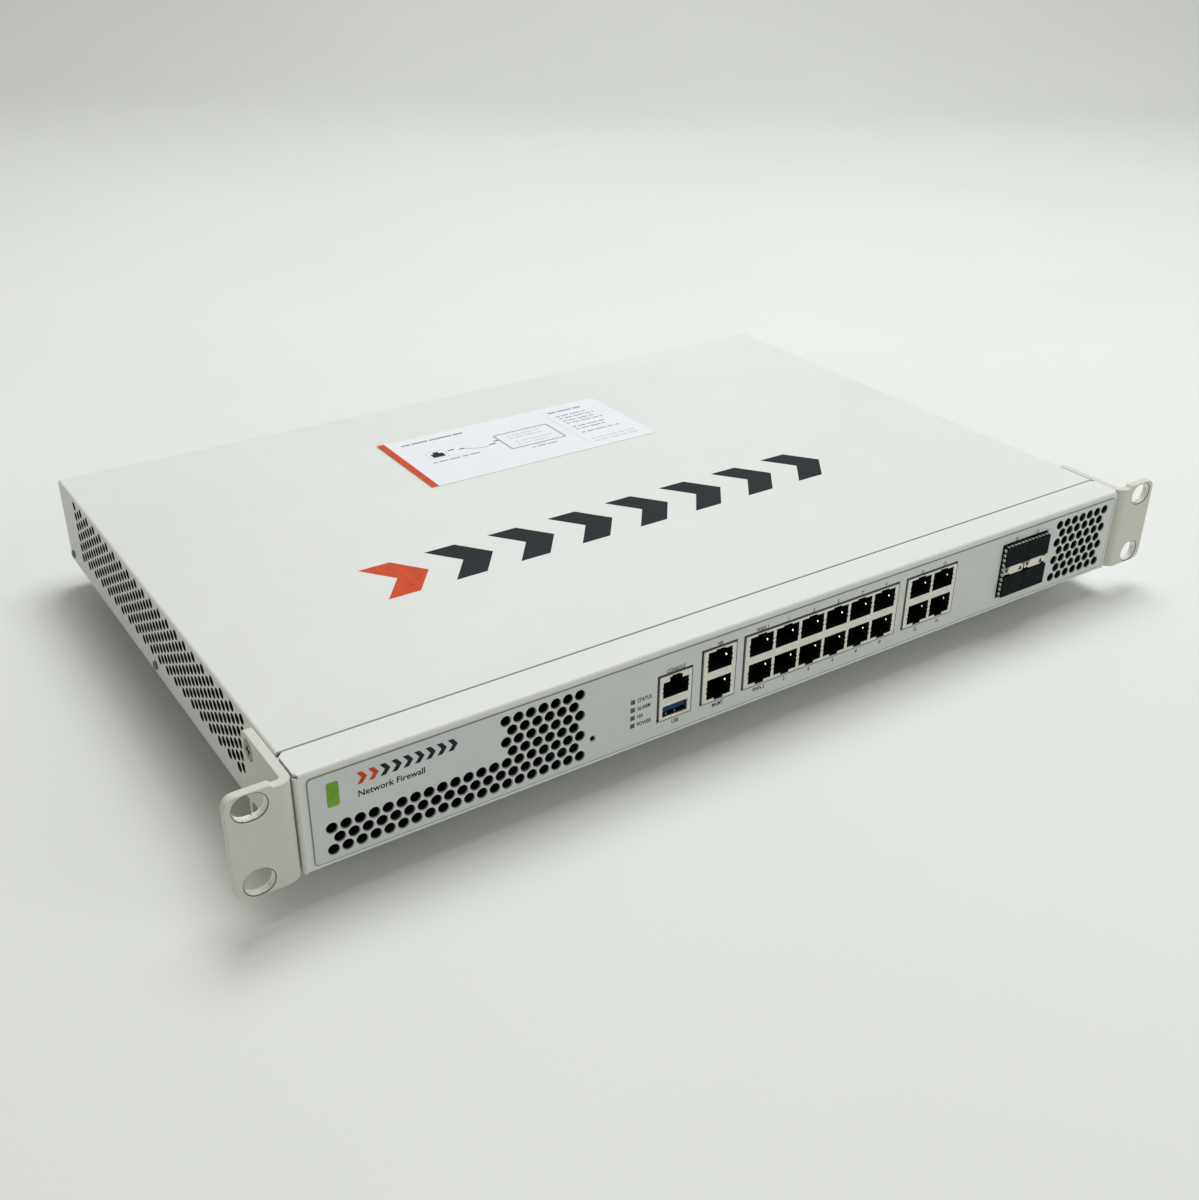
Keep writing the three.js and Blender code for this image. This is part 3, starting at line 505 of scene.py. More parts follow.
def metal(name, code, low=0.28, high=0.42, stretch=(1, 1, 1), metallic=1.0):
    """Bare metal with roughness from low to high and fine marks that may be stretched by axis."""
    base = tone(code)
    made = Finish(name, metallic=metallic)
    lines = made.noise(900.0, 3.0, stretch)
    made.color(made.ramp(lines, [(0.35, scaled(base, 0.86)), (0.65, base)]))
    made.rough(made.ramp(made.noise(140.0, 4.0, stretch), [(0.3, low), (0.7, high)]))
    return made.bump(lines, 0.12, 0.00004).material


def ink(name, code):
    """Screen-printed ink with slightly uneven cover."""
    made = Finish(name, 0.55, Specular_IOR_Level=0.2).mottled(tone(code), 0.1, 260.0)
    return made.bump(made.noise(4000.0, 2.0), 0.1, 0.00003).material


def worn_paint(name, base, bare):
    """Rubbed paint with a few dark scrapes, for the walls of the rack slots."""
    made = Finish(name, 0.5, Specular_IOR_Level=0.4)
    scrape = made.ramp(made.noise(420.0, 5.0, (1, 1, 2.2), 0.8), [(0.6, 0.0), (0.68, 1.0)])
    made.color(made.blended(scrape, tone(base), tone(bare)))
    made.links.new(made.ramp(scrape, [(0.0, 0.0), (1.0, 0.75)]), made.shader.inputs["Metallic"])
    return made.bump(scrape, 0.4, 0.0001).material


def circuit_board(name, mask, copper):
    """Solder mask over tracks, with faint lighter lines where the copper lies beneath."""
    made = Finish(name, 0.34, Specular_IOR_Level=0.5)
    inputs = {"Vector": made.place, "Scale": 240.0, "Mortar Size": 0.06, "Color1": (0, 0, 0, 1),
              "Color2": (0, 0, 0, 1), "Mortar": (1, 1, 1, 1), "Brick Width": 1.7, "Row Height": 0.33}
    tracks = made.node("TexBrick", inputs, offset=0.37, squash=0.6, squash_frequency=3).outputs["Fac"]
    lit = made.ramp(made.noise(60.0, 2.0), [(0.45, 0.0), (0.55, 1.0)])
    both = made.node("Math", {0: tracks, 1: lit}, operation="MULTIPLY").outputs[0]
    made.color(made.blended(both, tone(mask), tone(copper)))
    return made.bump(both, 0.3, 0.00005).material


def wound(name, code, turns, axis):
    """Windings or tape: fine bands along one axis."""
    base = tone(code)
    made = Finish(name, 0.45)
    inputs = {"Vector": made.place, "Scale": turns, "Distortion": 1.5, "Detail": 2.0, "Detail Scale": 3.0}
    bands = made.node("TexWave", inputs, bands_direction=axis).outputs["Fac"]
    made.color(made.ramp(bands, [(0.1, scaled(base, 0.6)), (0.6, base)]))
    return made.bump(bands, 0.5, 0.0002).material


PAINT = powder_coat("paint_case", "e3e5e1")
EAR_PAINT = powder_coat("paint_ear", "d7d7ce", 0.03)
WORN = worn_paint("paint_worn", "f0f0ec", "8b8a82")
# dark grey ring at the rack slots' mouths: worn bare edges, with their dark reflection painted in as colour
RIM_WEAR_AND_SHADE = plastic("paint_rim_wear_and_shade", "55554e", 0.5, 0.65, 0.2, 0.25, 0.3)
# near-black for the case sheets' inner faces and hole walls: painted shade of the closed case's inside
INSIDE_SHADE = plastic("steel_inside_shade", "1b1c1d", 0.55, 0.7)
FILM = plastic("film_grey", "d1d6d4", 0.34, 0.44, 0.08, 0.012)
# dark grey on the film's cut sides and hole walls and in a thin line inside its border: painted shade of the
# film's edge
FILM_EDGE_SHADE = plastic("film_edge_shade", "7c7d75", 0.5, 0.6, shine=0.2)
SHIELD = metal("metal_shield", "e3e2d7", 0.36, 0.5, metallic=0.55)
SPRING = metal("metal_spring", "d9d7ca", 0.22, 0.34)
GLINT = metal("metal_polished", "f7f7f4", 0.08, 0.16)
STEEL = metal("metal_screw", "8f948c", 0.3, 0.5)
# a darker copy of the screw steel: painted shade for screw recesses and for the cage body inside the case
STEEL_SHADE = metal("metal_steel_shade", "5b605a", 0.35, 0.5)
SINK = metal("metal_sink", "c3c5c8", 0.3, 0.45, (1, 0.05, 1))
GOLD = metal("metal_gold", "b99a4a", 0.25, 0.4)
# black plastic of the jack housings; also painted shade on metal spring arms and on the module cage's pocket
# walls and collar sides
SOCKET_AND_SHADE = plastic("plastic_socket_and_shade", "0c0d0e", 0.5, 0.65)
BLACK = plastic("plastic_black", "17181a", 0.42, 0.58)
SLATE = plastic("plastic_slate", "091017", 0.62, 0.75, 0.2, shine=0.12)
CREAM = plastic("plastic_cream", "ece6d6", 0.45, 0.55)
BLUE = plastic("plastic_blue", "12386e", 0.35, 0.45, 0.05, shine=0.12)
LENS = plastic("plastic_lens", "6f7472", 0.12, 0.22, 0.05)
RUBBER = plastic("rubber_black", "1c1c1d", 0.75, 0.9, 0.4)
PAPER = plastic("label_white", "eceef3", 0.3, 0.4, 0.05, 0.01)
INK_SLATE = ink("ink_slate", "151e25")
# dark ink for the printing; also printed on the lenses as painted shade of their grooves
INK_DARK_AND_GROOVE_SHADE = ink("ink_dark_and_groove_shade", "15191b")
INK_ORANGE = ink("ink_orange", "cc4a26")
INK_GREEN = ink("ink_green", "7cab3a")
INK_GREY = ink("ink_grey", "8d9599")
INK_PALE = ink("ink_pale", "c4cad0")
BOARD = circuit_board("board_green", "0c2c1a", "1b4a2c")
BROWN = circuit_board("board_brown", "7a5a30", "93703c")
TAPE = wound("tape_yellow", "c9a233", 60.0, "Z")
COPPER = wound("copper_winding", "8a3c1d", 500.0, "X")
SLEEVE = plastic("sleeve_blue", "1a2438", 0.3, 0.4)


def paint_with_inside_shade(name, outer, inner, level):
    """Paint below a height and a near-black painted shade above it, for the inside of the base pan."""
    made = Finish(name, 0.55, Specular_IOR_Level=0.35)
    height = made.node("SeparateXYZ", {"Vector": made.place}).outputs["Z"]
    above = made.node("Math", {0: height, 1: level}, operation="GREATER_THAN").outputs[0]
    paint = tone(outer)
    drift = made.ramp(made.noise(26.0), [(0.3, scaled(paint, 0.98)), (0.7, paint)])
    # above the height the colour is painted shade, not the pan's own finish
    made.color(made.blended(above, drift, tone(inner)))
    return orange_peel(made)


PAN_WITH_INSIDE_SHADE = paint_with_inside_shade("paint_pan_inside_shade", "e3e5e1", "1b1c1d", UNDERSIDE + 0.0001)


def carried(materials):
    """Gives CAD nodes that keep their shape a procedural material."""
    for node, material in materials.items():
        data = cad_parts[node].data
        data.materials.clear()
        data.materials.append(material)


carried({
    # the base pan's inside is painted near-black as shade
    "base_pan": PAN_WITH_INSIDE_SHADE,
    "reset_switch": BLACK,
    "reset_button": BLACK,
    "main_board": BOARD,
    "memory_module": BOARD,
    "storage_card": BOARD,
    "processor_heat_sink": SINK,
    "network_chip_heat_sink": SINK,
    "power_heat_sink": SINK,
    "clock_battery": SPRING,
    "power_board": BROWN,
    "power_transformer": TAPE,
    "bulk_capacitor": SLEEVE,
    "line_choke": COPPER,
    "mains_leads": BLACK,
    "board_power_leads": BLACK,
    **{f"fan_{part}_{i}": BLACK for part in ("frame", "rotor", "leads") for i in (1, 2, 3)},
})

# ---------- vents and cut-outs shared by the front panel and its film ----------

VENT_PITCH = (5.45, 4.7)
VENT_LOW = 6.95
VENT_ROWS = 7
LEFT_VENT = {"x": -204.5, "long": 20, "long_rows": 3, "short": 7}
RIGHT_VENT = {"x": 173.8, "wide": 7}
SIDE_VENT = {"y": 48.5, "columns": 43, "pitch": (5.13, 5.5), "starts": ((11.3, 6), (14.05, 5))}
JACKS = ("console_usb_jack", "management_jack", "network_jack_twelve", "network_jack_four", "module_cage")
LIGHT_X = -76.05
LIGHT_SIZE = 2.0
LIGHTS = [(name, 11.7 + i * 3.75) for i, name in enumerate(("POWER", "HA", "ALARM", "STATUS"))]
RESET = (-95.0, 12.9)


def vent_centres():
    last = LEFT_VENT["x"] + (LEFT_VENT["long"] - 1) * VENT_PITCH[0]
    for row in range(VENT_ROWS):
        z = VENT_LOW + row * VENT_PITCH[1]
        shifted = row % 2
        count = LEFT_VENT["long"] if row < LEFT_VENT["long_rows"] else LEFT_VENT["short"]
        for i in range(count - shifted):
            yield last - (i + shifted / 2) * VENT_PITCH[0], z
        for i in range(RIGHT_VENT["wide"] - shifted):
            yield RIGHT_VENT["x"] + (i + shifted / 2) * VENT_PITCH[0], z


def cutouts(left, top, right, bottom):
    """An opening round each jack block and the module cage, with a margin on each side."""
    for node in JACKS:
        low, high = extent(node)
        yield rectangle(low.x - left, high.x + right, low.z - bottom, high.z + top)


def light_windows(margin):
    half = LIGHT_SIZE / 2 + margin
    for _, z in LIGHTS:
        yield rectangle(LIGHT_X - half, LIGHT_X + half, z - half, z + half)


# ---------- front panel: one sheet folded back at the top, the sides and the bottom edge ----------


def front_panel():
    flat = HALF - BEND
    flap = flat + QUARTER + LIP - BEND
    roof = TOP - BEND
    roof_back = roof + QUARTER + LIP - BEND
    reach = HALF - 0.35

    def place(u, v, d):
        if v > roof or (v < BEND and abs(u) < flat - 0.01):
            z, y = folded(v, 0, TOP, BEND, d)
            return Vector((u, y, z))
        x, y = folded(u, -HALF, HALF, BEND, d)
        return Vector((x, y, v))

    right = [
        (flat - 0.03, BEND - QUARTER),
        (flat - 0.03, BEND + 0.3),
        (flat + 0.01, BEND + 0.3),
        (flat + 0.01, 0.12),
        (flap, 0.12),
        (flap, roof - 0.25),
        (flat + 0.05, roof - 0.1),
        (flat, roof + 0.55 * QUARTER),
        (reach, roof + QUARTER + 0.7),
        (reach, roof_back - 2),
        (reach - 2, roof_back),
    ]
    bends = (
        bend_lines(HALF, 1, BEND) + bend_lines(-HALF, -1, BEND),
        bend_lines(TOP, 1, BEND) + bend_lines(0, -1, BEND),
    )
    holes = [circle(x, z, 2.05) for x, z in vent_centres()]
    holes += list(cutouts(left=0.75, top=0.7, right=0.3, bottom=0.35))
    holes += list(light_windows(0.15))
    holes.append(circle(*RESET, 1.0, 16))
    shell = Shell()
    # the holes' walls and the sheet's back take the near-black painted shade
    shell.sheet(mirrored(right), place, SHEET, holes, 0.12, bends, walls=1, back=1)
    shell.finished("front_panel_folded", [PAINT, INSIDE_SHADE], replaces=["front_panel"])


def front_overlay():
    low, high = extent("front_overlay")
    holes = [circle(x, z, 2.3) for x, z in vent_centres()]
    holes += list(cutouts(left=1.05, top=1.0, right=0.6, bottom=0.7))
    holes += list(light_windows(0.02))
    holes.append(circle(*RESET, 1.35, 16))
    shell = Shell()
    outline = rounded(low.x, high.x, low.z, high.z, 1.8)
    # the film's outer sides and hole walls take the painted edge shade
    shell.sheet(outline, facing_front(low.y), high.y - low.y, holes, 0.06, walls=1, sides=1)
    shell.finished("front_film", [FILM, FILM_EDGE_SHADE], replaces=["front_overlay"])
    # a thin dark line printed inside the film's border: painted shadow of its edge
    line = Shell()
    inner = rounded(low.x + 0.35, high.x - 0.35, low.z + 0.35, high.z - 0.35, 1.6)
    outer = rounded(low.x + 0.1, high.x - 0.1, low.z + 0.1, high.z - 0.1, 1.7)
    line.printed(outer, facing_front(low.y - LIFT), holes=[inner])
    line.finished("front_film_shade_line", [FILM_EDGE_SHADE])


# ---------- printing on the front film ----------


def front_printing():
    face = facing_front(extent("front_overlay")[0].y - LIFT)
    shell = Shell()
    capital, bold, narrow = 1.9, 0.06, 0.77
    for name, z in LIGHTS:
        shell.words(name, face, LIGHT_X + 2.2, z, capital, 0, bold, "LEFT", narrow)
    labels = [("CONSOLE", -55.2, 31.7), ("USB", -54.8, 6.9), ("HA", -33, 36.4), ("MGMT", -32.8, 7.2),
              ("WAN 1", -10.9, 36.4), ("WAN 2", -10.9, 7.2)]
    for i in range(5):
        x = 3.1 + i * JACK_PITCH
        labels += [(str(2 * i + 1), x, 36.4), (str(2 * i + 2), x, 7.2)]
    for i in range(2):
        x = 81.3 + i * JACK_PITCH
        labels += [(str(11 + 2 * i), x, 36.3), (str(12 + 2 * i), x, 6.9)]
        labels.append((str(15 + 2 * i), 143.1 + i * 14.3, 36.0))
    for text, x, z in labels:
        shell.words(text, face, x, z, capital, 0, bold, "CENTER", narrow)
    shell.finished("front_lettering", [INK_DARK_AND_GROOVE_SHADE])
    front_emblem(face)


def chevrons(u, v, length, height, count, stroke):
    """A row of plain arrowheads that point along u."""
    width = length / (count + 0.35)
    for i in range(count):
        start = u + i * width
        tip = height * 0.38
        yield [
            (start, v),
            (start + stroke, v),
            (start + stroke + tip, v + height / 2),
            (start + stroke, v + height),
            (start, v + height),
            (start + tip, v + height / 2),
        ]


def front_emblem(face):
    """A generic mark: a green tab, a row of arrowheads and the kind of appliance it is."""
    mark = Shell()
    mark.printed(rounded(-205.3, -200.6, 25.2, 35.6, 1.0), face)
    mark.finished("front_tab", [INK_GREEN])
    arrows = Shell()
    for i, loop in enumerate(chevrons(-193.8, 30.8, 42, 5, 9, 2.2)):
        arrows.printed(loop, face, int(i < 2))
    arrows.words("Network Firewall", face, -193.8, 26.85, 2.7, 2, 0.07, "LEFT")
    arrows.finished("front_mark", [INK_SLATE, INK_ORANGE, INK_DARK_AND_GROOVE_SHADE])


# ---------- top cover: one sheet folded down at both sides, with round vent holes ----------


def top_cover():
    def place(u, v, d):
        x, drop = folded(u, -HALF, HALF, BEND, d)
        return Vector((x, v, TOP - drop))

    def unfolded(z):
        return HALF - BEND + QUARTER + TOP - BEND - z

    holes = []
    along, up = SIDE_VENT["pitch"]
    for flip in (-1, 1):
        for column in range(SIDE_VENT["columns"]):
            y = SIDE_VENT["y"] + along * column
            first, count = SIDE_VENT["starts"][column % 2]
            for i in range(count):
                holes.append(circle(flip * unfolded(first + i * up), y, 2.15, 18))
        for z in EAR_SCREW["z"]:
            holes.append(circle(flip * unfolded(z), EAR_SCREW["y"], 2.3, 16))
        for y in COVER_SCREW["y"]:
            holes.append(circle(flip * unfolded(COVER_SCREW["z"]), y, 1.7, 16))
    side = unfolded(extent("top_cover")[0].z)
    outline = rounded(-side, side, SEAM_BACK, COVER_BACK, 1.2, 3)
    bends = (bend_lines(HALF, 1, BEND, 6) + bend_lines(-HALF, -1, BEND, 6), ())
    shell = Shell()
    # the vent holes' walls and the sheet's back take the near-black painted shade
    shell.sheet(outline, place, SHEET, holes, 0.12, bends, walls=1, back=1)
    shell.finished("top_cover_folded", [PAINT, INSIDE_SHADE], replaces=["top_cover"])


def top_printing():
    """A large generic row of arrowheads where the cover carries its print."""
    shell = Shell()
    for i, loop in enumerate(chevrons(-134, 94, 268, 30, 8, 15)):
        shell.printed(loop, facing_up(TOP + 0.06), int(i < 1), 0.05)
    shell.finished("top_mark", [INK_SLATE, INK_ORANGE])


# ---------- label on the cover, with plain lines where its text would be ----------


def top_label():
    low, high = extent("top_label")
    lift = high.z

    def place(u, v, d):
        curl = max(0.0, (v - high.y + 12) / 12) * max(0.0, (low.x + 16 - u) / 16)
        return Vector((u, v, lift - d + 0.25 * curl * curl))

    sheet = Shell()
    sheet.sheet(rounded(low.x, high.x, low.y, high.y, 0.6, 2), place, 0.25, edge=0.02,
                bends=((low.x + 16, low.x + 8), (high.y - 12, high.y - 6)))
    sheet.finished("label_sheet", [PAPER], replaces=["top_label"])

    def on_label(loop, look, holes=()):
        marks.printed(loop, lambda u, v, d: place(u, v, d) + Vector((0, 0, 0.03)), look, 0.02, holes)

    def bar(u0, u1, v, height, look):
        on_label(rectangle(u0, u1, v - height / 2, v + height / 2), look)

    def line_of_words(u0, u1, v, height, look, word=4.5):
        """A line of text as plain dashes with word-like lengths."""
        u = u0
        k = 0
        while u < u1 - 1:
            end = min(u1, u + word * (0.55 + 0.45 * ((k * 7) % 5) / 2))
            bar(u, end, v, height, look)
            u = end + 1.1
            k += 1

    marks = Shell()
    on_label(rectangle(low.x + 0.1, low.x + 4.1, low.y + 0.1, high.y - 0.1), 0)
    lines = [(-56, -20, 237.5, 1.5, 2, 9), (33, 54, 236.5, 1.5, 2, 9)]
    lines += [(34, 59 - (v % 7), v, 0.9, 2) for v in (230, 226.5, 222.5, 219, 213, 209.5, 204)]
    lines += [(34, 61, v, 0.9, 3) for v in (194, 190.5)]
    lines += [(-52, -24, 209.5, 1.0, 2), (1, 16, 200.5, 0.9, 2)]
    for line in lines:
        line_of_words(*line)
    frame_loop = rounded(-50.3, -39.7, 213.6, 223.2, 1.2)
    on_label(frame_loop, 3, [grown(frame_loop, -0.3)])
    jack = [(-48.4, 215.2), (-41.6, 215.2), (-41.6, 219.6), (-43.4, 219.6), (-43.4, 221.6), (-46.6, 221.6),
            (-46.6, 219.6), (-48.4, 219.6)]
    on_label(jack, 1)
    for u, v, width in ((-38, 220, 3.4), (-32.4, 218.6, 3.4), (-15.6, 215.6, 3.4), (-12, 218.4, 3)):
        bar(u, u + width, v, 0.9, 1)
    sweep = [(-29 + 1.2 * k, 217.6 - 3.9 * math.sin(min(1.0, k / 9) * math.pi / 2) + 0.35 * max(0, k - 8))
             for k in range(13)]
    on_label(sweep + [(u, v + 0.5) for u, v in reversed(sweep)], 2)
    screen = rounded(-9, 24.5, 204, 225, 1)
    on_label(screen, 2, [grown(screen, -0.8)])
    for v, end in ((220.5, 19), (217, 17), (211.5, 20), (208, 15)):
        line_of_words(-3, end, v, 0.9, 3)
    bar(4, 11, 202.9, 0.6, 3)
    bar(29.8, 30.1, 212, 44, 3)
    marks.finished("label_printing", [INK_ORANGE, INK_DARK_AND_GROOVE_SHADE, INK_GREY, INK_PALE])


# ---------- rack ears ----------


def rack_ear(side):
    """A thick bent plate with two worn rack slots and two recessed screws."""
    low, high = extent(f"rack_ear_{side}")
    flip = 1 if side == "left" else -1
    outer = max(abs(low.x), abs(high.x))
    inner = min(abs(low.x), abs(high.x))
    thick, bend = 3.7, 5.0
    bottom, top, front = low.z, high.z, low.y
    length = high.y - front
    quarter = bend * math.pi / 2
    flat = -inner - bend
    end = flat + quarter + length - bend
    shoulder = top - 1.2

    def place(u, v, d):
        x, back = folded(u, -outer - 50, -inner, bend, d)
        return Vector((x * flip, front + back, v))

    outline = arc(-outer + 4.5, bottom + 4.5, 4.5, 180, 270, 6)
    outline += [(flat - 1, bottom), (flat + 3, bottom + 0.5)]
    outline += arc(end - 4, bottom + 4.5, 4, -90, 0, 6)
    outline += arc(end - 4, shoulder - 4, 4, 0, 90, 6)
    outline += [(flat - 2.2, shoulder), (flat - 3.4, top)]
    outline += arc(-outer + 4.5, top - 4.5, 4.5, 90, 180, 6)
    slot_x, ear_middle, slot_half = -232.5, 21.75, 5.1
    rim = [(0.48, 0), (0.12, 0.25), (0, 0.5), (0, thick - 0.3), (0.3, thick)]
    holes = []
    for width, z in ((12.4, ear_middle + RACK_HOLES_APART / 2), (11.2, ear_middle - RACK_HOLES_APART / 2)):
        slot = rounded(slot_x - width / 2, slot_x + width / 2, z - slot_half, z + slot_half, 5.05, 9)
        # the slot's mouth ring is worn bare edge with a painted dark reflection
        holes.append({"loop": slot, "profile": rim, "look": 1, "rim": 2})
    sink = [(-2.0, 0), (-2.0, thick - 2.6), (0, thick - 2.6), (0, thick - 0.25), (0.25, thick)]
    for z in EAR_SCREW["z"]:
        u = flat + quarter + (EAR_SCREW["y"] - front - bend)
        holes.append({"loop": circle(u, z, 4.25, 28), "profile": sink, "look": 0})
    bends = (bend_lines(-inner, 1, bend, 8), ())
    shell = Shell()
    shell.sheet(outline, place, thick, holes, 0.2, bends, flip=flip < 0)
    shell.finished(f"ear_{side}", [EAR_PAINT, WORN, RIM_WEAR_AND_SHADE], replaces=[f"rack_ear_{side}"])


def side_screw(kind, where, radius, thick, reach):
    """A screw head seen from the side of the case, with a cross recess, above its shank."""
    node = f"{kind}_screw_{where}"
    (x, y, z), low, high = middle(node)
    side = -1 if x < 0 else 1
    place = facing_side(low.x if side < 0 else high.x, y, z, side)
    shell = Shell()
    # the cross recess takes the darker steel: painted shade in the recess
    recess = blind(cross(reach, reach * 0.28), [(0, 0), (-0.15, 1.0)], 1)
    shell.sheet(circle(0, 0, radius, 28), place, thick, [recess], 0.35)
    start, end, shank = thick + 0.02, high.x - low.x, radius * 0.5
    shell.turned(place, [(0, start), (shank, start), (shank, end), (0, end)], 16)
    shell.finished(f"{kind}_screw_head_{where}", [STEEL, STEEL_SHADE], replaces=[node])


def side_screws():
    for side in SIDES:
        for level in ("upper", "lower"):
            side_screw("ear", f"{side}_{level}", 4.0, 2.3, 2.1)
        for place in ("middle", "rear"):
            side_screw("cover", f"{side}_{place}", 2.1, 0.9, 1.3)


# ---------- shielded jacks ----------

PORT = {"half": 6.2, "upper": (24.2, 33.45), "lower": (11.0, 20.5), "latch": 2.3}


def port_outline(x, low, high, latch_end, up):
    """A jack's mouth with its latch notch and the small nicks beside its side springs."""
    half, latch, nick = PORT["half"], PORT["latch"], 0.35
    centre = (low + high) / 2
    right = [(half, low)]
    for start in (-1.9, 0.2):
        z = centre + start
        right += [(half, z), (half + nick, z + 0.2), (half + nick, z + 0.8), (half, z + 1.0)]
    right.append((half, high))
    if up:
        side = right + [(latch, high), (latch, latch_end)]
    else:
        side = [(latch, latch_end), (latch, low)] + right
    return mirrored(side, x)


def spring_tip(shell, x, y, z, look):
    """The bent end of a side spring: a small polished pad that faces the jack's mouth."""
    outwards = Vector((0.04, -0.84, 0.55)).normalized()
    across = Vector((outwards.y, -outwards.x, 0)).normalized()
    pad = lying((x, y, z), across, outwards.cross(across))
    shell.turned(pad, [(0, 0), (0.42, 0.04), (0.58, 0.16), (0.58, 0.5), (0, 0.5)], 14, look)


def port_inside(shell, x, low, high, up):
    """What shows inside a jack: eight contacts and the bright tip of its side spring, whose metal arm is
    coloured black as painted shade.
    """
    root, tip = (low + 0.6, low + 3.6) if up else (high - 0.6, high - 3.6)
    for i in range(8):
        u = x + (i - 3.5) * CONTACT_PITCH
        shell.tube([(u, 7.5, root), (u, 9, root + (tip - root) * 0.3), (u, 13, tip)], 0.2, 6, 3)
    z = (low + high) / 2 + (0.35 if up else 1.3)
    spring = x + PORT["half"] - 1.7
    spring_tip(shell, spring, 0.9, z, 4)
    # the metal spring arm takes the black socket colour: painted shade
    shell.tube([(spring, 1.3, z), (spring + 1.3, 4, z - 0.4)], 0.25, 6, 1)


def jack_block(node, columns):
    (centre, _, _), low, high = middle(node)
    face = low.y
    shell = Shell()
    holes = []
    for column in range(columns):
        x = centre + (column - (columns - 1) / 2) * JACK_PITCH
        for (bottom, top), up in ((PORT["upper"], True), (PORT["lower"], False)):
            latch_end = high.z - 0.35 if up else low.z + 0.35
            mouth = port_outline(x, bottom, top, latch_end, up)
            holes.append(blind(mouth, [(0.0, 0), (-0.08, 0.12), (-0.08, 0.5), (-0.08, JACK_DEPTH)], 1))
            port_inside(shell, x, bottom, top, up)
    outline = rounded(low.x, high.x, low.z, high.z, 0.4, 2)
    shell.sheet(outline, facing_front(face), high.y - face, holes, 0.12)
    looks = [SHIELD, SOCKET_AND_SHADE, SPRING, GOLD, GLINT]
    shell.finished(f"{node}_shield", looks, replaces=[node])


def console_jack():
    node = "console_usb_jack"
    (x, _, _), low, high = middle(node)
    half, nick = 6.3, 0.3
    side = [(half, 19.5)]
    for z in (21.9, 23.9):
        side += [(half, z), (half + nick, z + 0.2), (half + nick, z + 0.8), (half, z + 1.0)]
    side += [(half, 26.95), (3.15, 26.95), (3.15, 28.9), (2.05, 28.9), (2.05, high.z - 0.3)]
    deep = [(0.0, 0), (-0.08, 0.12), (-0.08, JACK_DEPTH)]
    flat_deep = [(0.0, 0), (-0.1, 0.1), (-0.1, 14)]
    serial = rounded(x - 6.35, x + 6.35, 10.35, 15.65, 0.4, 2)
    holes = [blind(mirrored(side, x), deep, 1), blind(serial, flat_deep, 2, floor=1)]
    shell = Shell()
    outline = rounded(low.x, high.x, low.z, high.z, 0.4, 2)
    shell.sheet(outline, facing_front(low.y), high.y - low.y, holes, 0.12)
    for i in range(8):
        u = x + (i - 3.5) * CONTACT_PITCH
        shell.tube([(u, 4.0, 20.1), (u, 6.0, 21), (u, 12.5, 23.4)], 0.24, 6, 3)
    shell.finished("console_shield", [SHIELD, SOCKET_AND_SHADE, SPRING, GOLD], replaces=[node])
    serial_socket(x)


def serial_socket(x):
    """The flat socket's blue tongue, its contacts and the springs in the shell below it."""
    shell = Shell()
    shell.sheet(rounded(x - 5.75, x + 5.75, 12.4, 15.35, 0.3, 2), facing_front(0.2), 13.5, edge=0.25, look=0)
    for i in range(4):
        u = x + (i - 1.5) * 2.3
        shell.sheet(rectangle(u - 0.5, u + 0.5, 12.28, 12.45), facing_front(0.9), 8, edge=0.03, look=1)
    for u in (x - 3.1, x + 1.4):
        shell.tube([(u, 1.4, 10.7), (u, 2.4, 10.95), (u, 3.8, 11.7), (u, 6.0, 11.0)], 0.28, 8, 2)
    shell.sheet(rectangle(x + 6.02, x + 6.24, 10.7, 15.3), facing_front(-0.3), 5, edge=0.06, look=2)
    shell.sheet(rectangle(x - 6.0, x + 6.0, 10.36, 10.5), facing_front(-0.3), 5, edge=0.05, look=2)
    shell.finished("serial_tongue", [BLUE, GOLD, SPRING])


# ---------- module cage, its strip and its dust plugs ----------


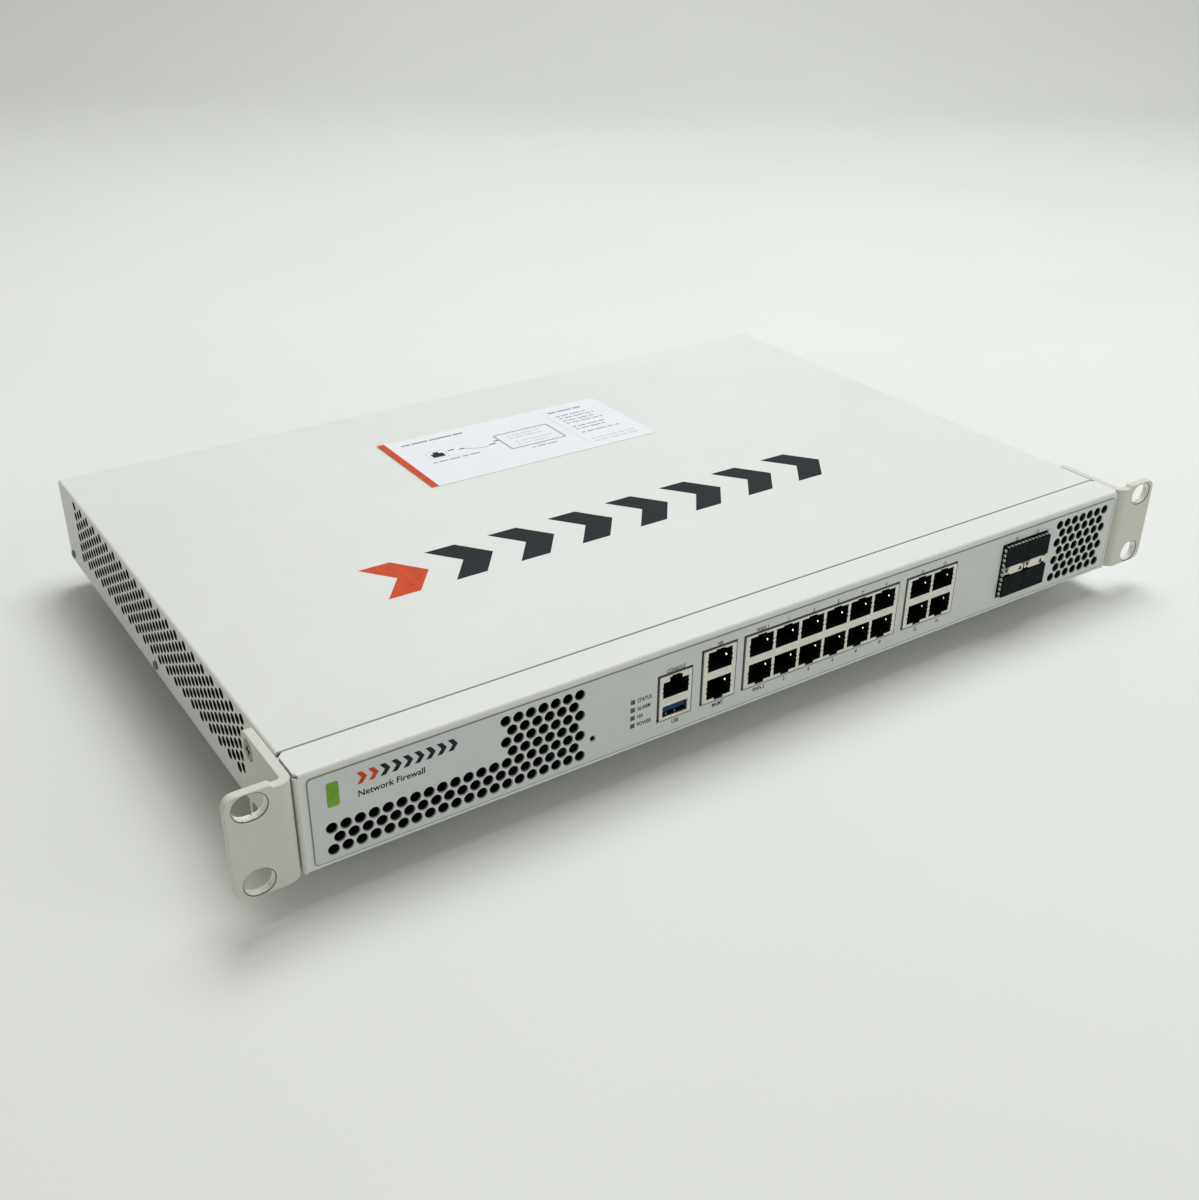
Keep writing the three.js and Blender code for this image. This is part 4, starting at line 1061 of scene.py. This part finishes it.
def module_cage():
    node = "module_cage"
    (x, _, _), low, high = middle(node)
    shell = Shell()
    collar_end = 11.0
    pockets = []
    for bottom in POCKETS.values():
        for side in (-7.4, 7.4):
            loop = rectangle(x + side - 6.9, x + side + 6.9, bottom, bottom + 8.4)
            pockets.append(blind(loop, [(0, 0), (0, collar_end - 2)], 1))
    strip = rectangle(low.x + 0.8, high.x - 0.8, 18.6, 23.6)
    pockets.append(blind(strip, [(0, 0), (0, 8)], 1))
    outline = rectangle(low.x + 0.25, high.x - 0.25, low.z + 0.25, high.z - 0.25)
    # the pockets and the collar's outer sides take the black socket colour: painted shade between the spring
    # fingers and in the pockets
    shell.sheet(outline, facing_front(low.y), collar_end - low.y, pockets, 0.1, walls=1, sides=1)
    body = rectangle(low.x + 0.1, high.x - 0.1, 9.35, high.z - 0.1)
    # the cage body behind the collar takes the darker steel: painted shade inside the case
    shell.sheet(body, facing_front(collar_end + 0.02), high.y - collar_end - 0.1, edge=0.1, look=2)

    def finger(start, along, out, width):
        """A spring finger that bows out from the collar's front edge."""
        points = []
        for y, proud in ((low.y, 0.0), (low.y + 0.3, 0.14), (low.y + 3.0, 0.22), (low.y + 6.0, 0.02)):
            for shift in (-width / 2, width / 2):
                base = start + along * shift
                points += [base + out * proud + Vector((0, y, 0)), base - out * 0.2 + Vector((0, y, 0))]
        faces = []
        for k in range(3):
            a, b = 4 * k, 4 * k + 4
            faces += [(a, b, b + 2, a + 2), (a + 1, a + 3, b + 3, b + 1), (a, a + 1, b + 1, b),
                      (a + 2, b + 2, b + 3, a + 3)]
        faces += [(0, 2, 3, 1), (12, 13, 15, 14)]
        shell.add(points, faces, 0, along.cross(Vector((0, 1, 0))).dot(out) > 0)

    for axis, count in ((2, 10), (0, 12)):
        pitch = (high[axis] - low[axis] - 1.2) / count
        along, across = Vector(), Vector()
        along[axis] = across[2 - axis] = 1.0
        for i in range(count):
            for edge, out in ((low[2 - axis] + 0.25, -1), (high[2 - axis] - 0.25, 1)):
                start = along * (low[axis] + 0.6 + (i + 0.5) * pitch) + across * edge
                finger(start, along, across * out, pitch * 0.62)
    shell.finished("module_cage_shell", [SPRING, SOCKET_AND_SHADE, STEEL_SHADE], replaces=[node])


def indicator_strip():
    node = "module_indicator_strip"
    (x, _, z), low, high = middle(node)
    notch = 0.7
    upper = [(high.x, high.z - notch), (high.x - 2.4, high.z - notch), (high.x - 2.8, high.z),
             (x + 3.4, high.z), (x + 3.0, high.z - notch), (x - 3.0, high.z - notch), (x - 3.4, high.z),
             (low.x + 2.8, high.z), (low.x + 2.4, high.z - notch), (low.x, high.z - notch)]
    lower = [(low.x, low.z + notch), (low.x + 3.6, low.z + notch), (low.x + 4.0, low.z), (x - 2.0, low.z),
             (x - 1.6, low.z + notch), (x + 2.4, low.z + notch), (x + 2.8, low.z), (high.x - 3.2, low.z),
             (high.x - 2.8, low.z + notch), (high.x, low.z + notch)]
    shell = Shell()
    shell.sheet(lower + upper, facing_front(low.y), high.y - low.y, edge=0.15)
    face = facing_front(low.y - LIFT)
    w, h = 1.35, 1.25
    for u in (-13.0, 1.3):
        shell.printed([(x + u - w, z + h), (x + u, z - h), (x + u + w, z + h)], face, 1)
    for u in (-3.6, 10.6):
        shell.printed([(x + u - w, z - h), (x + u + w, z - h), (x + u, z + h)], face, 1)
    for dz in (-0.85, 0.85):
        shell.printed(rounded(x - 1.7, x - 0.7, z + dz - 0.7, z + dz + 0.7, 0.2, 3), face, 1)
    shell.finished("indicator_strip", [CREAM, INK_DARK_AND_GROOVE_SHADE], replaces=[node])


def dust_plug(level, side):
    """A moulded plug: a soft-edged face with a shallow panel, ribs behind and a hollow body."""
    node = f"dust_plug_{level}_{side}"
    (x, _, _), low, high = middle(node)
    shell = Shell()
    face = facing_front(low.y)
    skin = 0.6
    panel = rounded(low.x + 0.8, high.x - 0.8, low.z + 0.7, high.z - 0.7, 0.5, 3)
    sunk = blind(panel, [(0.06, 0), (0, 0.06)])
    shell.sheet(rounded(low.x, high.x, low.z, high.z, 0.35, 3), face, skin, [sunk], 0.14)
    bottom = POCKETS[level]
    body = rounded(x - 6.6, x + 6.6, bottom + 0.3, bottom + 8.1, 0.6, 3)
    body = [(-u, v) for u, v in reversed(body)]
    hollow = blind(rounded(-x - 5.6, -x + 5.6, bottom + 1.3, bottom + 7.1, 0.4, 3), [(0, 0), (0, 11)])
    shell.sheet(body, facing_back(high.y), high.y - low.y - skin - 0.01, [hollow], 0.3)
    for k in (-1, 1):
        rib = rectangle(x + k * 3 - 0.4, x + k * 3 + 0.4, bottom + 8.1, bottom + 8.35)
        shell.sheet(rib, facing_front(low.y + 2.5), 8, edge=0.05)
    shell.finished(f"plug_{level}_{side}", [SLATE], body=node, replaces=[node])


# ---------- status lights ----------


def status_lights():
    node = "status_light_pipe"
    low, high = extent(node)
    shell = Shell()
    half = LIGHT_SIZE / 2 - 0.12
    x = LIGHT_X
    for _, z in LIGHTS:
        lens = rounded(x - half, x + half, z - half, z + half, 0.2, 2)
        shell.sheet(lens, facing_front(low.y + 0.1), 3.4, edge=0.1)
        # three dark lines on each lens: painted shade of grooves that are not cut
        for k in (-1, 0, 1):
            groove_shade_line = rectangle(x - half + 0.2, x + half - 0.2, z + k * 0.55 - 0.12, z + k * 0.55 + 0.12)
            shell.printed(groove_shade_line, facing_front(low.y + 0.08), 1, 0.05)
    shell.sheet(rectangle(low.x, high.x, low.z, high.z), facing_front(3.05), high.y - 3.05, edge=0.2)
    shell.finished("light_pipe", [LENS, INK_DARK_AND_GROOVE_SHADE], replaces=[node])


# ---------- back, underside and feet ----------

GROUND_SIDE = 70.0  # where the rear wall's foot ends, left of the fans


def rear_panel():
    node = "rear_panel"
    low, high = extent(node)
    face = high.y
    fans = []
    for i in (1, 2, 3):
        (x, _, z), _, _ = middle(f"fan_frame_{i}")
        fans.append((-x, z))
    corners = [(du, dv) for du in (-16, 16) for dv in (-16, 16)]
    spoke = 2.4
    holes = []
    for u, v in fans:
        for inner, outer in ((5.5, 9.0), (11.5, 15.5)):
            gap = math.degrees(spoke / outer) / 2
            for quarter in range(4):
                start = 90 * quarter + gap
                end = 90 * (quarter + 1) - gap
                holes.append(arc(u, v, outer, start, end, 8) + arc(u, v, inner, end, start, 8))
        holes += [circle(u + du, v + dv, 1.9, 14) for du, dv in corners]
    (x, _, z), _, _ = middle("mains_inlet")
    holes.append(rectangle(-x - 14, -x + 14, z - 10.3, z + 10.3))
    (x, _, z), _, _ = middle("ground_screw")
    holes.append(circle(-x, z, 2.3, 14))
    shell = Shell()
    outline = rectangle(-high.x, -low.x, low.z, high.z)
    # the holes' walls and the wall's back take the near-black painted shade
    shell.sheet(outline, facing_back(face), SHEET, holes, 0.1, walls=1, back=1)
    foot = rectangle(low.x, -GROUND_SIDE, low.z, low.z + SHEET)
    # the rear wall's foot inside the case takes the near-black painted shade
    shell.sheet(foot, facing_front(face - SHEET - 8), 7.9, edge=0.1, look=1)
    shell.finished("rear_wall", [PAINT, INSIDE_SHADE], replaces=[node])
    screws = Shell()
    profile = [(0, 0.5), (0.9, 0.5), (1.1, 0.0), (2.6, 0.3), (3.1, 1.2), (1.4, 1.2), (1.4, 9), (0, 9)]
    for u, v in fans:
        for du, dv in corners:
            screws.turned(facing_back(face + 1.3, -u + du, v + dv), profile, 20)
    screws.finished("fan_screws", [STEEL])


def earth_screw():
    node = "ground_screw"
    (x, _, z), _, high = middle(node)
    place = facing_back(high.y, x, z)
    shell = Shell()
    shell.sheet(circle(0, 0, 4, 28), place, 2.1, [blind(cross(2.2, 0.5), [(0, 0), (-0.1, 1.2)])], 0.4)
    shell.turned(place, [(0, 2.12), (2, 2.12), (2, 10), (0, 10)], 16)
    shell.finished("earth_screw", [STEEL], replaces=[node])


def mains_inlet():
    node = "mains_inlet"
    (x, _, z), low, high = middle(node)
    back = high.y
    place = facing_back(back, x, z)
    w, h, bevel = 12.0, 8.2, 4.0
    mouth = [(-w, -h), (w, -h), (w, h - bevel), (w - bevel, h), (bevel - w, h), (-w, h - bevel)]
    flange = 2.2
    shell = Shell()
    edge = rounded(low.x - x, high.x - x, low.z - z, high.z - z, 3, 6)
    neck = rounded(-13.7, 13.7, -10, 10, 2, 4)
    shell.sheet(edge, place, flange, [{"loop": mouth, "profile": [(0.4, 0), (0, 0.4), (0, flange)]}], 0.3)
    inner = blind(mouth, [(0, 0), (0, 17 - flange)])
    shell.sheet(neck, facing_back(back - flange - 0.01, x, z), high.y - low.y - flange - 0.02, [inner], 0.1)
    for u, v in ((-7, -1), (0, 2.8), (7, -1)):
        blade = rounded(u - 1, u + 1, v - 2, v + 2, 0.5, 3)
        shell.sheet(blade, facing_back(back - 5, x, z), 12.2, edge=0.4, look=1)
    shell.finished("mains_socket", [BLACK, STEEL], replaces=[node])


def rubber_feet():
    for end in ("front", "rear"):
        for side in SIDES:
            node = f"foot_{end}_{side}"
            (x, y, _), low, high = middle(node)
            r = (high.x - low.x) / 2
            height = high.z - low.z
            shell = Shell()
            profile = [(0, 0), (r - 0.5, 0), (r - 0.1, 0.4), (r - 1.2, height - 0.8), (r - 2.0, height),
                       (4.0, height), (3.6, height - 0.4), (3.6, height - 4), (0, height - 4)]
            shell.turned(facing_up(high.z, x, y), profile, 36)
            shell.finished(f"rubber_{node}", [RUBBER], replaces=[node])


# ---------- studio ----------

SWEEP_TURN = -34.3  # degrees about z, square to the camera's view


def studio():
    """A pale sweep, a broad soft lamp above, a weak one in front and a dim even surround."""
    rise, radius, height, width = 1450.0, 700.0, 3000.0, 100000.0
    profile = [(-width, 0.0), (rise, 0.0)]
    profile += [(rise + radius * math.sin(t), radius * (1 - math.cos(t)))
                for t in (math.pi / 2 * i / 16 for i in range(1, 17))]
    profile.append((rise + radius, height))
    turn = Matrix.Rotation(math.radians(SWEEP_TURN), 3, "Z")
    points = []
    for y, z in profile:
        points += [turn @ Vector((-width, y, z)), turn @ Vector((width, y, z))]
    faces = [(2 * i, 2 * i + 1, 2 * i + 3, 2 * i + 2) for i in range(len(profile) - 1)]
    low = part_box("foot_front_left")[0].z
    mesh = bpy.data.meshes.new("floor")
    mesh.from_pydata([p * MM + Vector((0, 0, low)) for p in points], [], faces)
    mesh.polygons.foreach_set("use_smooth", [True] * len(faces))
    made = linked("floor", mesh)
    paper = Finish("floor_paper", 0.9, Specular_IOR_Level=0.1).mottled(tone("e6e8e5"), 0.012, 3.0)
    mesh.materials.append(paper.material)

    world = bpy.data.worlds.new("surround")
    bpy.context.scene.world = world
    world.use_nodes = True
    surround = world.node_tree.nodes["Background"].inputs
    surround["Color"].default_value = (*tone("f5f4ea"), 1)
    surround["Strength"].default_value = 0.33

    def lamp(name, place, size, power):
        """A soft rectangular lamp that points at the object."""
        data = bpy.data.lights.new(name, "AREA")
        data.shape = "RECTANGLE"
        data.size, data.size_y = size
        data.energy = power
        data.color = tone("fbfdff")
        lamp_object = linked(name, data)
        lamp_object.location = place
        lamp_object.rotation_euler = (-Vector(place)).to_track_quat("-Z", "Y").to_euler()

    lamp("lamp_above", (0.5, 0.3, 1.9), (1.4, 1.1), 31)
    lamp("lamp_front", (2.0, -2.6, 1.6), (1.6, 1.2), 16)


def camera():
    """The camera's place and turn in the row's frame."""
    azimuth, elevation, roll = (math.radians(a) for a in (-34.325, 28.976, 0.766))
    back = Vector((math.sin(azimuth) * math.cos(elevation), -math.cos(azimuth) * math.cos(elevation),
                   math.sin(elevation)))
    right = (-back).cross(Vector((0, 0, 1))).normalized()
    up = right.cross(-back)
    across = right * math.cos(roll) + up * math.sin(roll)
    above = up * math.cos(roll) - right * math.sin(roll)
    data = bpy.data.cameras.new("camera")
    data.lens = 41.19
    data.sensor_width = 36
    data.clip_start = 0.01
    made = linked("camera", data)
    place = Vector((-0.3427, FACE - 0.3666, UNDERSIDE + 0.3196))
    made.matrix_world = Matrix.Translation(place) @ Matrix((across, above, back)).transposed().to_4x4()
    bpy.context.scene.camera = made


# ---------- all of it ----------

camera()
studio()
front_panel()
front_overlay()
front_printing()
top_cover()
top_printing()
top_label()
for case_side in SIDES:
    rack_ear(case_side)
side_screws()
jack_block("management_jack", 1)
jack_block("network_jack_twelve", 6)
jack_block("network_jack_four", 2)
console_jack()
module_cage()
indicator_strip()
for plug_level in ("lower", "upper"):
    for plug_side in SIDES:
        dust_plug(plug_level, plug_side)
status_lights()
rear_panel()
earth_screw()
mains_inlet()
rubber_feet()

bpy.context.scene.view_settings.view_transform = "Standard"
